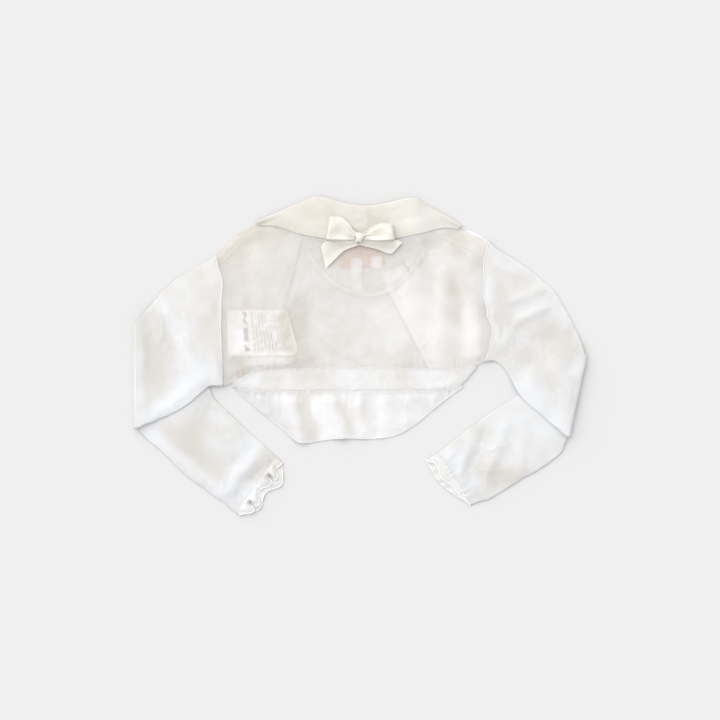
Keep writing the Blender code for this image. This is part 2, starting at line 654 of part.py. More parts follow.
FRONTS = make_fronts()
LABELS = make_care_label() + make_neck_pieces(FRONTS)
BACK_PANEL = make_back(FRONTS + LABELS)
make_casing()
make_hem_band()
make_sleeve("left", SLEEVE_LEFT_UPPER, SLEEVE_LEFT_LOWER, SLEEVE_LEFT_RIDGES)
make_sleeve("right", SLEEVE_RIGHT_UPPER, SLEEVE_RIGHT_LOWER, SLEEVE_RIGHT_RIDGES)
make_frill("left", SLEEVE_LEFT_LOWER, FRILL_LEFT, ripple=4.6)
make_frill("right", SLEEVE_RIGHT_LOWER, FRILL_RIGHT, ripple=2.6)
make_bow(make_collar(BACK_PANEL), BACK_PANEL)
centre_on_origin()
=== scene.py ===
"""The looks of a toddler's shrug in sheer off-white knit, laid flat with its back up.

Sizes are in millimetres until a mesh is made, and then metres. X runs across the garment, Y from its hem
to its collar, and Z up from the surface that it lies on. The back faces up, so the wearer's left is at -X.
"""

from collections import namedtuple
from math import cos, exp, hypot, pi, radians, sin

import bmesh
import bpy
from mathutils import Matrix, Vector, noise
from mathutils.bvhtree import BVHTree


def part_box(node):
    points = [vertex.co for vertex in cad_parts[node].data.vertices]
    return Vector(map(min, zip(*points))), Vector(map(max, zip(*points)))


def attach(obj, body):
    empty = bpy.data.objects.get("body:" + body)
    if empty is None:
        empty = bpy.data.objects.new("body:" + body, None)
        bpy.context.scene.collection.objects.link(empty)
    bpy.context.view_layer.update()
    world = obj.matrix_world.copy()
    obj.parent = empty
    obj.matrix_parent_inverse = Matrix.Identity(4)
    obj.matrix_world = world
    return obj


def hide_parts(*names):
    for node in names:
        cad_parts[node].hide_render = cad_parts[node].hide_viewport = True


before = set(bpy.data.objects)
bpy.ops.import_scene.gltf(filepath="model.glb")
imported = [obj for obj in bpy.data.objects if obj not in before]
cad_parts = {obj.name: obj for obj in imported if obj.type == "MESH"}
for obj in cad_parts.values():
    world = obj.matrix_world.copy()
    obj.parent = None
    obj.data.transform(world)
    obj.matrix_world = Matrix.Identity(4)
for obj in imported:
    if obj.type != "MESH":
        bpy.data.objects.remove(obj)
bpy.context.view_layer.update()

MM = 0.001

# --- Sizes ---

# Thicknesses of the cloths, and the height at which the lowest of them rests
KNIT = 0.4
COLLAR_CLOTH = 0.5
RIBBON = 0.4
LABEL = 0.4
RESTING = 0.3
# The gap along a seam, and the wall of the solid pieces
SEAM = 0.06
CAD_WALL = 1.0

# The height of the cloth at the waist and shoulder seams, and how far from them it slopes down to that
WAIST_EDGE = 1.05
WAIST_SLOPE = 10.0
SHOULDER_EDGE = 0.75
SHOULDER_SLOPE = 8.0
# The least height of the back where the care label lies under it
OVER_LABEL = 2.55
# How far from an armhole the cloth bows with its seam, and how far it takes the seam's height
BOW_REACH = 28.0
JOIN_REACH = 10.0

# A sleeve's height where it is set in and folded, and at its edges and middle in between
SET_IN_HEIGHT = 2.8
EDGE_HEIGHT = 1.0
MIDDLE_HEIGHT = 1.9
# How far from the armhole, and from the fold at the elbow, that fuller height reaches
SET_IN_REACH = 20.0
FOLD_REACH = 26.0
# How high the upper arm lies over the forearm, at the fold and away from it, and how it slopes off beside it
FOLD_LIFT = 3.5
COVER_LIFT = 2.6
DRAPE_START = 1.0
DRAPE_WIDTH = 26.0
# Rows of faces along a sleeve, sides of a cord, and steps of the lines that wind or run beside others
UPPER_ROWS, TURN_ROWS, LOWER_ROWS = 84, 16, 96
CORD_SIDES = 8
WINDING_STEPS = 480
BESIDE_STEPS = 80

# The width of the fronts' turned bands and of the neck tape, and the radius at which the collar rolls over
FRONT_BAND = 7.0
TAPE_WIDTH = 5.0
COLLAR_ROLL = 1.3
# How high a seam and a row of stitches lie on their cloth
SEAM_LIFT = 0.1
STITCH_LIFT = 0.28
# The height of a bow loop's open end, and how far the loops and tails are tucked in at the knot
LOOP_HEIGHT = 4.8
LOOP_TUCK = 2.8
TAIL_TUCK = 3.0
TAIL_END_TUCK = 4.6
TAIL_END_HEIGHT = 5.9
# Heights of the collar and the tails where their solid pieces don't reach
COLLAR_HEIGHT = 4.8
TAIL_HEIGHT = 6.0

# A line up a panel. A rise starts on the waist seam, and a drop hangs from the hem seam
Line = namedtuple("Line", "low_x low_y high_x high_y")
Rise = namedtuple("Rise", "low_x high_x high_y")
Drop = namedtuple("Drop", "high_x low_x low_y")
Point = namedtuple("Point", "x y")
# Across a sleeve, and across the collar, with how much of its cloth turns under
Ring = namedtuple("Ring", "outer_x outer_y inner_x inner_y")
Section = namedtuple("Section", "fold_x fold_y edge_x edge_y turn")
Depth = namedtuple("Depth", "depth")
Fold = namedtuple("Fold", "from_x from_y to_x to_y width height")
Bulge = namedtuple("Bulge", "share bow")
Armhole = namedtuple("Armhole", "low_x low_y high_x high_y bulge")
Round = namedtuple("Round", "share side push")
Cut = namedtuple("Cut", "width length share held")
Sheet = namedtuple("Sheet", "piece cut on trims")


def rows_of(kind, *rows):
    """A table, each row of which is of this kind."""
    return [kind(*row) for row in rows]


WAIST_SEAM = rows_of(
    Point, (-133, -24.9), (-119.7, -19.9), (-100.7, -11.6), (-77, -9.5), (-50, -8.2), (-20, -7.2),
    (20, -7.4), (56, -8.5), (88, -8.6), (108.3, -5.7), (119.5, -1.7),
)
HEM_SEAM = rows_of(
    Point, (-122, -25.9), (-105, -29.6), (-80, -30), (-40, -29.6), (0, -29.4), (40, -29), (70, -28.2),
    (86, -26.4), (97, -21.4), (109.5, -8.4),
)
BACK = rows_of(
    Rise, (-132, -137.8, 99.8), (-120, -117.4, 119.6), (-100.7, -86, 134.2), (-78, -62.5, 143.6),
    (-53.2, -41.5, 148.6), (-25, -19.9, 140.4), (3.8, 3.8, 137.6), (32.3, 27.5, 140.4), (56, 48.6, 147.6),
    (75, 64, 142.6), (92.1, 83, 132), (107, 104.5, 120.4), (118.8, 122.5, 113),
)
FRONT_LEFT = BACK[:1] + rows_of(
    Rise, (-120, -116.6, 120), (-106, -91, 132), (-95, -69, 140.6), (-88.3, -55.1, 117.8),
)
FRONT_RIGHT = rows_of(
    Rise, (63.6, 19, 78.8), (80, 41.8, 93.1), (94, 67.5, 105.4), (107, 98, 123),
) + BACK[-1:]
HEM = rows_of(
    Drop, (-119.6, -117.2, -30.6), (-106, -97, -47.2), (-88, -74, -66.4), (-66, -58, -78.6),
    (-42, -37, -76.6), (-17, -15.2, -74.6), (8.5, 8.5, -75.2), (32.3, 30.4, -72.4), (52, 48.4, -63.6),
    (68.5, 65.5, -49.8), (83, 81.5, -36.8), (95, 97, -25.6),
)
COLLAR = rows_of(
    Section, (-100.7, 131.6, -97, 127.6, 2.7), (-84.5, 138.2, -81.7, 127, 2.7),
    (-62.7, 147.6, -62, 121, 3.4), (-40.9, 155, -42, 116.6, 7.8), (-13.3, 148.4, -15.2, 114.2, 9.4),
    (3.8, 146.6, 3.8, 113.8, 10.2), (20.9, 148.4, 23, 114.2, 9.4), (48.4, 154.2, 51.3, 119.2, 7.4),
    (62.7, 147, 67, 123, 3.4), (78.6, 138.4, 79.6, 125.4, 2.7), (95.9, 128.2, 92.6, 124.2, 2.7),
)
SLEEVE_LEFT_UPPER = rows_of(
    Ring, (-138.15, 99.8, -132.35, -24.9), (-152.9, 91.2, -143, -25), (-171, 79.8, -151, -31),
    (-186.2, 68.4, -161.5, -40.4), (-197.5, 54.8, -176.2, -49.8), (-206.4, 44.6, -194, -57.6),
    (-212.8, 36, -212.4, -65.5),
)
SLEEVE_LEFT_LOWER = SLEEVE_LEFT_UPPER[-1:] + rows_of(
    Ring, (-195.2, 44, -203.3, -75.5), (-174.2, 27, -190.9, -86), (-154.2, 3.8, -179.5, -96.9),
    (-140.4, -33.6, -168.2, -108.3), (-125.4, -49.6, -155.8, -117.8), (-110.4, -64.6, -142.5, -127.3),
    (-94.6, -78.8, -129.2, -137), (-80.4, -91.6, -118.6, -145.6),
)
SLEEVE_RIGHT_UPPER = rows_of(
    Ring, (122.85, 113, 119.15, -1.9), (143.4, 97.8, 129.6, -2.2), (163.4, 83.6, 138.4, -11.8),
    (182.4, 66.5, 144.6, -23.2), (195.4, 46.5, 151.8, -35), (204.4, 28.5, 164.6, -47.2),
    (209.8, 14.3, 180.4, -60.6), (212, 6.4, 195, -73.4),
)
SLEEVE_RIGHT_LOWER = SLEEVE_RIGHT_UPPER[-1:] + rows_of(
    Ring, (192, -5.7, 190.4, -87.4), (170, -20.4, 180.4, -96.3), (146.3, -34.8, 168.2, -105),
    (122.5, -49.9, 152, -113.8), (99.8, -66.5, 135.8, -124), (85, -77.6, 121.2, -132.2),
    (72.6, -87.8, 106, -137),
)
FRILL_LEFT = [Depth(depth) for depth in (8, 16, 16, 20, 15)]
FRILL_RIGHT = [Depth(depth) for depth in (2.8, 9, 14, 14.5, 13.5)]

NECK_TAPE = rows_of(
    Point, (-53.4, 107), (-40.9, 88.4), (-22.8, 71.3), (3.8, 62.2), (27.5, 67.5), (48.4, 86.4),
    (61.6, 106),
)
NECK_LABEL = rows_of(Line, (-19.9, 87.4, -18, 111.8), (22.8, 88.2, 21.5, 111.8))
SIZE_TAB = rows_of(Line, (-9.5, 64.6, -9.5, 96.9), (0.9, 64.6, 0.9, 96.9))
FIBRE_TAB = rows_of(Line, (9.5, 87, 9.5, 98.8), (19.9, 87, 19.9, 98.8))
CARE_LABEL = rows_of(Line, (-126.4, 3.8, -127.3, 47.5), (-60.2, 3.8, -70.3, 47.5))
CARE_LEAF = rows_of(Line, (-101, -5.4, -104, 3.2), (-66, -4.4, -61, 3.2))

BOW_LOOP_LEFT = rows_of(
    Line, (-7.4, 114.4, -6.6, 119.8), (-13, 113.8, -10.6, 128), (-22, 113.8, -18.6, 134.6),
    (-30.4, 114, -26.6, 135.6),
)
BOW_LOOP_RIGHT = rows_of(
    Line, (3.4, 114.4, 3.2, 119.6), (10.5, 113.4, 8.6, 125.2), (20, 113.2, 18.1, 128.8),
    (29.4, 114, 27, 128.8),
)
BOW_TAIL_LEFT = rows_of(
    Line, (-6.4, 107.6, -8.1, 112.2), (-16.2, 103.2, -18.6, 112), (-25, 95, -28.6, 111.6),
    (-33.4, 86.6, -38.2, 108),
)
BOW_TAIL_RIGHT = rows_of(
    Line, (2.4, 107.8, 3.8, 112), (14.3, 105.2, 16.2, 111.6), (24, 101.4, 28.5, 111.6),
    (29.5, 100.7, 39, 111.4),
)
KNOT_CENTRE = Point(-1.9, 116.6)
KNOT_HALF_X, KNOT_HALF_Y, KNOT_HALF_Z = 3.5, 4.3, 3.1
SHOULDER_LEFT = rows_of(Point, (-95, 126), (-111, 113), (-124.5, 100.5), (-131, 93))
SHOULDER_RIGHT = rows_of(Point, (76, 118), (90, 110.5), (102, 106), (112, 104))
THREAD_END = rows_of(Point, (39.5, 93.5), (41, 90), (44.6, 87), (44.8, 82.5))

# Each armhole's straight line, and how far its seam bows out of that at each share of the way up
ARMHOLES = {
    "left": Armhole(-132.18, -24.9, -137.98, 99.8, rows_of(
        Bulge, (0, 0.9), (0.2, 1.3), (0.42, 1.4), (0.6, 2.8), (0.8, 5.2), (0.93, 1.5), (1, 0),
    )),
    "right": Armhole(118.98, -1.9, 122.68, 113, rows_of(
        Bulge, (0, -0.8), (0.12, 2.6), (0.26, 5), (0.4, -0.5), (0.56, -4.4), (0.82, -5.5), (0.93, -3),
        (1, -1),
    )),
}

# Creases: soft ridges where the height is above 0, and troughs where it is below
BACK_FOLDS = rows_of(
    Fold, (-43, 26, -9, 0, 6, 1.5), (-28, 34, 42, 4, 7, -0.9), (44, 76, 46, 34, 7, 1.3),
    (60, 72, 62, 6, 6, -0.6), (78, 84, 76, 10, 9, 2.2), (96, 90, 94, 0, 8, -1), (110, 62, 108, -6, 8, 1.7),
    (-119, 7, -97, -22, 5, 1.7), (-84, 2, -74, -10, 5, 1), (-118, 96, -112, 56, 7, 1.2),
    (-92, 108, -98, 58, 9, 0.9), (-30, 84, -14, 66, 5, 0.6), (82, 112, 108, 98, 5, 1),
    (-66, 92, -60, 14, 8, -0.8),
)
HEM_FOLDS = rows_of(
    Fold, (-97, -31, -90, -52, 5, 1.2), (-70, -31, -54, -79, 8.5, 3), (-36, -30, -14, -77, 8, 3.9),
    (-5, -38, 5, -73, 7, 1.7), (24, -33, 22, -70, 7, 0.7), (47, -31, 42, -64, 7, 0.9),
    (74, -28, 67, -46, 6, 0.8),
)
SLEEVE_LEFT_FOLDS = rows_of(
    Fold, (-196, 58, -142, -2, 5.5, 1.7), (-142, -14, -204, -64, 6.5, 1.6), (-207, 26, -206, -52, 5, 1),
    (-178, 30, -176, -26, 10, -0.9), (-146, 88, -144, 40, 6, 1.2), (-166, 74, -150, 44, 6, 0.9),
    (-140, 6, -136, -20, 4, 0.8),
)
FOREARM_LEFT_FOLDS = rows_of(
    Fold, (-200, -72, -134, -124, 5.5, 1.8), (-131, -130, -97, -88, 7, 2.6),
    (-150, -58, -126, -96, 7, 1.3), (-128, -56, -108, -82, 5, 1.5), (-168, -80, -146, -104, 6, -0.8),
    (-119, -132, -110, -114, 5, -0.8), (-105, -117, -92, -104, 5, -1.3), (-98, -86, -88, -98, 4, 1),
)
SLEEVE_RIGHT_FOLDS = rows_of(
    Fold, (143, 55, 184, 72, 4.5, 1.5), (150, 38, 178, 51, 4.5, 1.3), (130, 14, 158, 44, 6.5, 1.3),
    (164, 22, 186, 18, 12, -0.9), (158, -18, 172, -52, 6, 1.7), (184, -6, 204, -44, 6.5, 1.9),
    (176, -8, 192, -50, 5, -0.8), (132, 92, 150, 78, 5, 1), (128, 84, 126, 30, 5, 0.9),
    (196, 38, 208, 12, 6, 1.1),
)
FOREARM_RIGHT_FOLDS = rows_of(
    Fold, (157, -52, 151, -110, 7, 2.4), (138, -60, 120, -110, 6.5, 2.2), (104, -76, 94, -114, 5.5, 1.5),
    (188, -84, 164, -100, 6, 1.6), (122, -58, 102, -106, 4.5, -0.7), (168, -66, 170, -98, 5, -0.7),
    (88, -84, 80, -96, 4, 0.9),
)
# Painted shading: where the cloth is made creamier and darker to stand for shade (a height above 0), and
# whiter to stand for light (below 0), on its folds and where cloth lies over cloth
PAINTED_SHADING = rows_of(
    Fold, (-205, 33, -189, -28, 14, 1.2), (-214, 47, -214, -57, 6, -0.9), (-191, 57, -164, 5, 7, -0.8),
    (-148, -8, -200, -62, 12, -1.5), (-148, 76, -140, 14, 11, 0.8), (-180, 81, -152, 90, 9, 0.6),
    (-191, -57, -134, -112, 9, 1.2), (-176, -80, -144, -62, 12, 0.9), (-200, -66, -124, -133, 7, -0.8),
    (-96, -76, -132, -124, 11, -1.1), (-92, -82, -80, -104, 6, 0.8), (-150, -70, -124, -88, 8, -0.6),
    (165, 33, 203, 14, 15, 1.1), (156, 5, 180, -24, 12, 0.7), (132, 71, 141, 28, 9, 0.5),
    (132, 119, 203, 57, 12, -0.9), (146, -28, 170, -38, 12, -1.3), (189, -14, 213, -5, 8, -0.7),
    (184, 43, 196, 50, 8, -0.7), (104, -76, 198, -66, 32, -0.7), (113, -105, 151, -112, 10, 1.6),
    (76, -86, 98, -92, 6, -0.5), (-58, 57, -54, -11, 9, 1.3), (10, 57, 39, 14, 14, -1),
    (56, 14, 32, -14, 11, 0.5), (-114, 28, -116, 4, 8, -0.9), (35, 71, 75, 14, 20, -0.7),
    (85, 81, 92, 38, 6, 0.9), (103, 47, 107, -5, 7, -1.3), (113, 85, 117, 57, 8, -1.2),
    (23, 78.8, 67.6, -10.5, 3.5, -0.9), (196, 38, 208, 20, 8, -0.9), (180, -60, 200, -72, 8, -0.9),
    (108, -62, 122, -72, 9, 1), (6, -36, 12, -70, 8, 0.5), (150, 60, 190, -20, 40, -0.25),
    (-200, 20, -150, -60, 30, -0.2), (-60, -33, -45, -76, 6.5, 1.7), (-27, -28, -5, -74, 5, 0.7),
    (-44, -36, -30, -76, 6, -0.8), (-120, 4, -110, -16, 8, 1), (-96, 110, -70, 122, 9, 0.5),
    (-58, 142, -10, 136, 14, 0.5), (40, 138, 84, 124, 12, -1.3), (-22, 140, -8, 128, 9, -0.6),
    (6, 142, 14, 120, 7, 0.6), (-131, 95, -94, 128, 9, 1.2), (64, 117, 100, 112, 9, 1.2),
    (-94, -14, -76, -20, 8, 1), (-62, -2, -24, -20, 12, 0.7), (-20, -4, -6, -22, 6, -0.6),
    (50, -10, 78, -22, 9, -0.5), (-71, 44, -64, 6, 9, 1.3), (39, 104, 66, 113, 6, 0.5),
    (-112, -140, -96, -114, 9, -0.7), (82, -88, 106, -128, 11, -0.8), (-106, -3, -74, -3, 6, -0.9),
    (58, -1, 80, -2, 6, -0.9), (34, -12, 40, -24, 6, 0.6), (90, -6, 98, -18, 6, 0.6),
    (-42, -30, -38, -42, 5, 0.5), (-186, 25, -177, 12, 7, 0.7), (186, 14, 192, 4, 8, 0.8),
    (-104, -108, -98, -116, 7, 0.7), (139, 42, 143, 34, 8, 0.5), (158, 4, 163, -4, 8, 0.5),
    (-24, 24, -14, 12, 10, 0.6), (62, -26, 68, -31, 6, -0.6), (32, 70, 44, 60, 9, 0.4),
)
# Where a crease nicks a sleeve's outline
NICKS = rows_of(Fold, (-191, 55, -189, 57, 6, 4.6), (205, -2, 205, -4, 5, 1.8))


# --- Curves, folds and gathers ---


def eased(t):
    """0 to 1 with a smooth start and end."""
    t = min(max(t, 0.0), 1.0)
    return t * t * (3 - 2 * t)


def mix(a, b, t):
    """a where t is 0, and b where it is 1."""
    return a + (b - a) * t


def row_at(table, t):
    """The table's row at t, from 0 to 1, on a smooth curve through all its rows."""
    last = len(table) - 1
    place = min(max(t, 0.0), 1.0) * last
    k = min(int(place), last - 1)
    f = place - k
    near = (table[min(max(k + i, 0), last)] for i in (-1, 0, 1, 2))
    return type(table[k])(*(
        q + 0.5 * f * (r - p + f * (2 * p - 5 * q + 4 * r - s + f * (3 * (q - r) + s - p)))
        for p, q, r, s in zip(*near)
    ))


def seam_y(seam, x):
    """The Y of a seam at x."""
    last = len(seam) - 2
    k = next((k for k in range(last) if x <= seam[k + 1].x), last)
    share = (x - seam[k].x) / (seam[k + 1].x - seam[k].x)
    return row_at(seam, (k + share) / (last + 1)).y


def rising(table, u):
    """The line at u of a panel that rises from the waist seam."""
    r = row_at(table, u)
    return Line(r.low_x, seam_y(WAIST_SEAM, r.low_x), r.high_x, r.high_y)


def hanging(table, u):
    """The line at u of a panel that hangs from the hem seam."""
    r = row_at(table, u)
    return Line(r.low_x, r.low_y, r.high_x, seam_y(HEM_SEAM, r.high_x) - SEAM)


def on_panel(table, u, v, line_at=row_at):
    """The point at u across a panel and v up it."""
    line = line_at(table, u)
    return mix(line.low_x, line.high_x, v), mix(line.low_y, line.high_y, v)


def gap_to(outline, x, y):
    """How far (x, y) lies outside a closed outline, or 0 within it."""
    inside, nearest = False, 1e9
    for (ax, ay), (bx, by) in zip(outline, outline[1:] + outline[:1]):
        if (ay > y) != (by > y) and x < ax + (y - ay) / (by - ay) * (bx - ax):
            inside = not inside
        length_squared = max((bx - ax) ** 2 + (by - ay) ** 2, 1e-9)
        along = ((x - ax) * (bx - ax) + (y - ay) * (by - ay)) / length_squared
        along = min(max(along, 0.0), 1.0)
        nearest = min(nearest, hypot(x - mix(ax, bx, along), y - mix(ay, by, along)))
    return 0.0 if inside else nearest


def wander(x, y, size, seed):
    """Smooth unevenness between about -1 and 1, with lumps of this size."""
    return noise.noise(Vector((x / size, y / size, seed)))


def swells(x, y, *layers):
    """Unevenness of several sizes together. Each layer is a size, its share and its seed."""
    return sum(share * wander(x, y, size, seed) for size, share, seed in layers)


def crinkle(x, y, seed):
    """Short soft creases that cross each other, in some places more than in others."""
    crease = max(1 - 4.2 * abs(wander(x, y, 21.0, seed)), 0.0) ** 2
    crossing = max(1 - 4.0 * abs(wander(y, x, 15.0, seed + 5)), 0.0) ** 2
    return (crease + 0.6 * crossing) * eased(0.45 + 1.6 * wander(x, y, 38.0, seed + 9)) - 0.2


def slack(x, y, seed):
    """The unevenness of cloth that lies loose: broad, middling and small swells, and fine creases."""
    loose = swells(x, y, (34, 1.0, seed), (14, 0.5, seed + 7), (6, 0.22, seed + 13))
    return loose + 0.6 * crinkle(x, y, seed + 17)


def folds_at(folds, x, y):
    """The height that the creases add at (x, y). Each wanders a little, and fades at its ends."""
    total = 0.0
    for fold in folds:
        run_x, run_y = fold.to_x - fold.from_x, fold.to_y - fold.from_y
        length = hypot(run_x, run_y)
        along = ((x - fold.from_x) * run_x + (y - fold.from_y) * run_y) / length
        if not -0.3 * length < along < 1.3 * length:
            continue
        aside = ((x - fold.from_x) * run_y - (y - fold.from_y) * run_x) / length
        if abs(aside) > 3.2 * fold.width:
            continue
        aside += 0.4 * fold.width * wander(along, fold.from_x, 18.0, fold.from_y)
        width = fold.width * (1 + 0.3 * wander(along, fold.to_x, 26.0, fold.to_y))
        ends = eased((along / length + 0.25) / 0.45) * eased((1.25 - along / length) / 0.45)
        total += fold.height * ends * exp(-((aside / width) ** 2))
    return total


def cream_and_painted_shading(x, y):
    """How far toward cream the cloth is at (x, y), from -1 for white to 1 for cream: a random drift of tone,
    with the painted shade and light of the shading table added.
    """
    uneven = swells(x, y, (30, 0.45, 61), (12, 0.45, 67), (5, 0.25, 73))
    return min(max(uneven + folds_at(PAINTED_SHADING, x, y), -1.0), 1.0)


def gathers(along, distance, pitch, height, reach, seed):
    """Puckers that run away from a gathered seam, uneven in spacing, height and length."""
    phase = along / pitch + 1.5 * wander(along, 0.0, 19.0, seed)
    crest = cos(2 * pi * phase) + 0.45 * cos(2 * pi * 1.618 * phase + 4 * wander(along, 1.0, 9.0, seed + 2))
    tall = height * max(0.55 + 1.3 * wander(along, 3.0, 15.0, seed + 5), 0.08)
    far = reach * (0.6 + 1.2 * abs(wander(along, 6.0, 10.0, seed + 9)))
    return tall * crest * exp(-((distance / far) ** 1.3))


# --- The frame: where the tables lie, and the height of the solid pieces ---

CARE_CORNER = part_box("care_label")[0]
SHIFT = Vector((CARE_CORNER.x / MM - CARE_LABEL[0].high_x, CARE_CORNER.y / MM - CARE_LABEL[0].low_y, 0.0))


def placed(x, y, z):
    """A point of the tables, in metres in the garment's own frame."""
    return (Vector((x, y, z)) + SHIFT) * MM


def height_over(mesh, spread=0.0):
    """height(x, y): the top of a mesh there, averaged over a small disc, or None beside it."""
    tree = BVHTree.FromPolygons([v.co for v in mesh.vertices], [p.vertices for p in mesh.polygons])
    spots = [(0.0, 0.0)]
    for radius, count in ((0.5 * spread, 6), (spread, 8)) if spread else ():
        spots += [(radius * cos(2 * pi * k / count), radius * sin(2 * pi * k / count)) for k in range(count)]

    def height(x, y):
        hits = (tree.ray_cast(placed(x + dx, y + dy, 1000.0), Vector((0, 0, -1)))[0] for dx, dy in spots)
        found = [hit.z / MM for hit in hits if hit is not None]
        return sum(found) / len(found) if found else None

    return height


def solid_height(node, spread):
    """The height of a solid piece's top."""
    return height_over(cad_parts[node].data, spread)


def up_armhole(armhole, y):
    """How far up an armhole y lies, from 0 to 1."""
    return (y - armhole.low_y) / (armhole.high_y - armhole.low_y)


def plain_x(armhole, y):
    """The X of the straight line that an armhole's seam bows out of."""
    return mix(armhole.low_x, armhole.high_x, up_armhole(armhole, y))


def bulge_at(armhole, y):
    """How far an armhole's seam bows out of its straight line at this Y."""
    up = min(max(up_armhole(armhole, y), 0.0), 1.0)
    low, high = next((a, b) for a, b in zip(armhole.bulge, armhole.bulge[1:]) if up <= b.share)
    return mix(low.bow, high.bow, eased((up - low.share) / (high.share - low.share)))


def bowed(x, y):
    """x, moved with the seam of a near armhole, so that the cloth on both sides still meets there."""
    for armhole in ARMHOLES.values():
        x += bulge_at(armhole, y) * (1 - eased(abs(x - plain_x(armhole, y)) / BOW_REACH))
    return x


def set_in(armhole, y):
    """The height of the cloth along an armhole's seam, which rounds down at both of its ends."""
    reach = SET_IN_HEIGHT / 2
    end = min(max(min(y - armhole.low_y, armhole.high_y - y) / reach, 0.0), 1.0)
    return RESTING + reach * (1 + (1 - (1 - end) ** 2) ** 0.5)


def joined(armhole, x, y, height):
    """height, eased to that of the armhole's seam where the cloth comes near it."""
    return mix(height, set_in(armhole, y), 1 - eased(abs(x - plain_x(armhole, y)) / JOIN_REACH))


# --- Materials ---


class Shader:
    """A Principled material, with short ways to add nodes before it."""

    def __init__(self, name, roughness, alpha=1.0, **sockets):
        self.material = bpy.data.materials.new(name)
        self.material.use_nodes = True
        self.tree = self.material.node_tree
        self.principled = self.tree.nodes["Principled BSDF"]
        for socket, value in {"Roughness": roughness, "Alpha": alpha, **sockets}.items():
            self.principled.inputs[socket.replace("_", " ")].default_value = value

    def put(self, socket, value):
        """Links a socket to another node's output, or gives it a plain value."""
        if hasattr(value, "links"):
            self.tree.links.new(value, socket)
        else:
            socket.default_value = value

    def node(self, kind, **inputs):
        made = self.tree.nodes.new(kind)
        for name, value in inputs.items():
            self.put(made.inputs[name], value)
        return made

    def maths(self, operation, *values):
        made = self.tree.nodes.new("ShaderNodeMath")
        made.operation = operation
        for socket, value in zip(made.inputs, values):
            self.put(socket, value)
        return made.outputs[0]

    def wave(self, value, pitch):
        """A sine wave along a coordinate."""
        return self.maths("SINE", self.maths("MULTIPLY", value, 2 * pi / pitch))

    def weave(self):
        """The cloth's own coordinates, in millimetres across and along it."""
        coordinates = self.node("ShaderNodeUVMap")
        coordinates.uv_map = "weave"
        split = self.node("ShaderNodeSeparateXYZ", Vector=coordinates.outputs["UV"])
        return split.outputs["X"], split.outputs["Y"]

    def mottle(self, scale, detail=3.0):
        """Soft uneven tone, from the object's own coordinates."""
        place = self.node("ShaderNodeTexCoord").outputs["Object"]
        return self.node("ShaderNodeTexNoise", Vector=place, Scale=scale, Detail=detail).outputs["Fac"]

    def tone(self, amount, dark, light, blend="MIX"):
        """A colour between two others."""
        made = self.tree.nodes.new("ShaderNodeMix")
        made.data_type, made.blend_type = "RGBA", blend
        sockets = [socket for socket in made.inputs if socket.enabled]
        for socket, value in zip(sockets, (amount, dark, light)):
            self.put(socket, value)
        return next(socket for socket in made.outputs if socket.enabled)

    def cream_with_painted_shading(self, neutral, whitest_and_lit, creamiest_and_shaded):
        """The cloth's colour, between its white and its cream as the vertex attribute says: a drift of tone,
        and painted shade and light. neutral is how far toward cream it lies on the whole.
        """
        read = self.tree.nodes.new("ShaderNodeAttribute")
        read.attribute_name = "cream_and_painted_shading"
        share = self.maths("MULTIPLY_ADD", read.outputs["Fac"], 0.5, neutral)
        return self.tone(share, (*whitest_and_lit, 1.0), (*creamiest_and_shaded, 1.0))

    def shaded(self, colour, amount):
        """A colour, made a little darker where amount is low. In the knit that is painted shade in the
        hollows between the loops, with the yarn's uneven tone.
        """
        return self.tone(1.0, colour, self.maths("MULTIPLY_ADD", amount, 0.075, 0.94), "MULTIPLY")

    def finish(self, colour, height, depth):
        """The finished material, with a relief of this depth in millimetres."""
        bump = self.node("ShaderNodeBump", Height=height, Distance=depth * MM, Strength=1.0)
        self.put(self.principled.inputs["Base Color"], colour)
        self.put(self.principled.inputs["Normal"], bump.outputs["Normal"])
        return self.material


def shades(colour, spread):
    """A darker and a lighter shade of a colour."""
    return [(*(min(c * (1 + share), 1.0) for c in colour), 1.0) for share in (-spread, spread)]


def knit(name, whitest_and_lit, creamiest_and_shaded, neutral, alpha, wale=1.1, course=0.85, depth=0.16):
    """Fine stocking stitch: upright wales of V-shaped loops, with an uneven yarn."""
    shader = Shader(name, 0.88, alpha, Sheen_Weight=0.25, Sheen_Roughness=0.4, Specular_IOR_Level=0.25)
    x, y = shader.weave()
    in_wale = shader.maths("FRACT", shader.maths("DIVIDE", x, wale))
    leg = shader.maths("ABSOLUTE", shader.maths("SUBTRACT", in_wale, 0.5))
    up = shader.maths("MULTIPLY_ADD", leg, 1.3, shader.maths("DIVIDE", y, course))
    loop = shader.maths("MULTIPLY_ADD", shader.wave(up, 1.0), 0.3, 0.7)
    stitch = shader.maths("MULTIPLY", shader.wave(leg, 1.0), loop)
    uneven = shader.mottle(330.0)
    height = shader.maths("MULTIPLY_ADD", uneven, 1.6, stitch)
    # Darker in the hollows between the loops, painted shade, and uneven with the yarn's own tone
    tone = shader.maths("MULTIPLY_ADD", stitch, 0.35, shader.maths("MULTIPLY", uneven, 0.75))
    return shader.finish(shader.shaded(shader.cream_with_painted_shading(neutral, whitest_and_lit, creamiest_and_shaded), tone), height, depth)


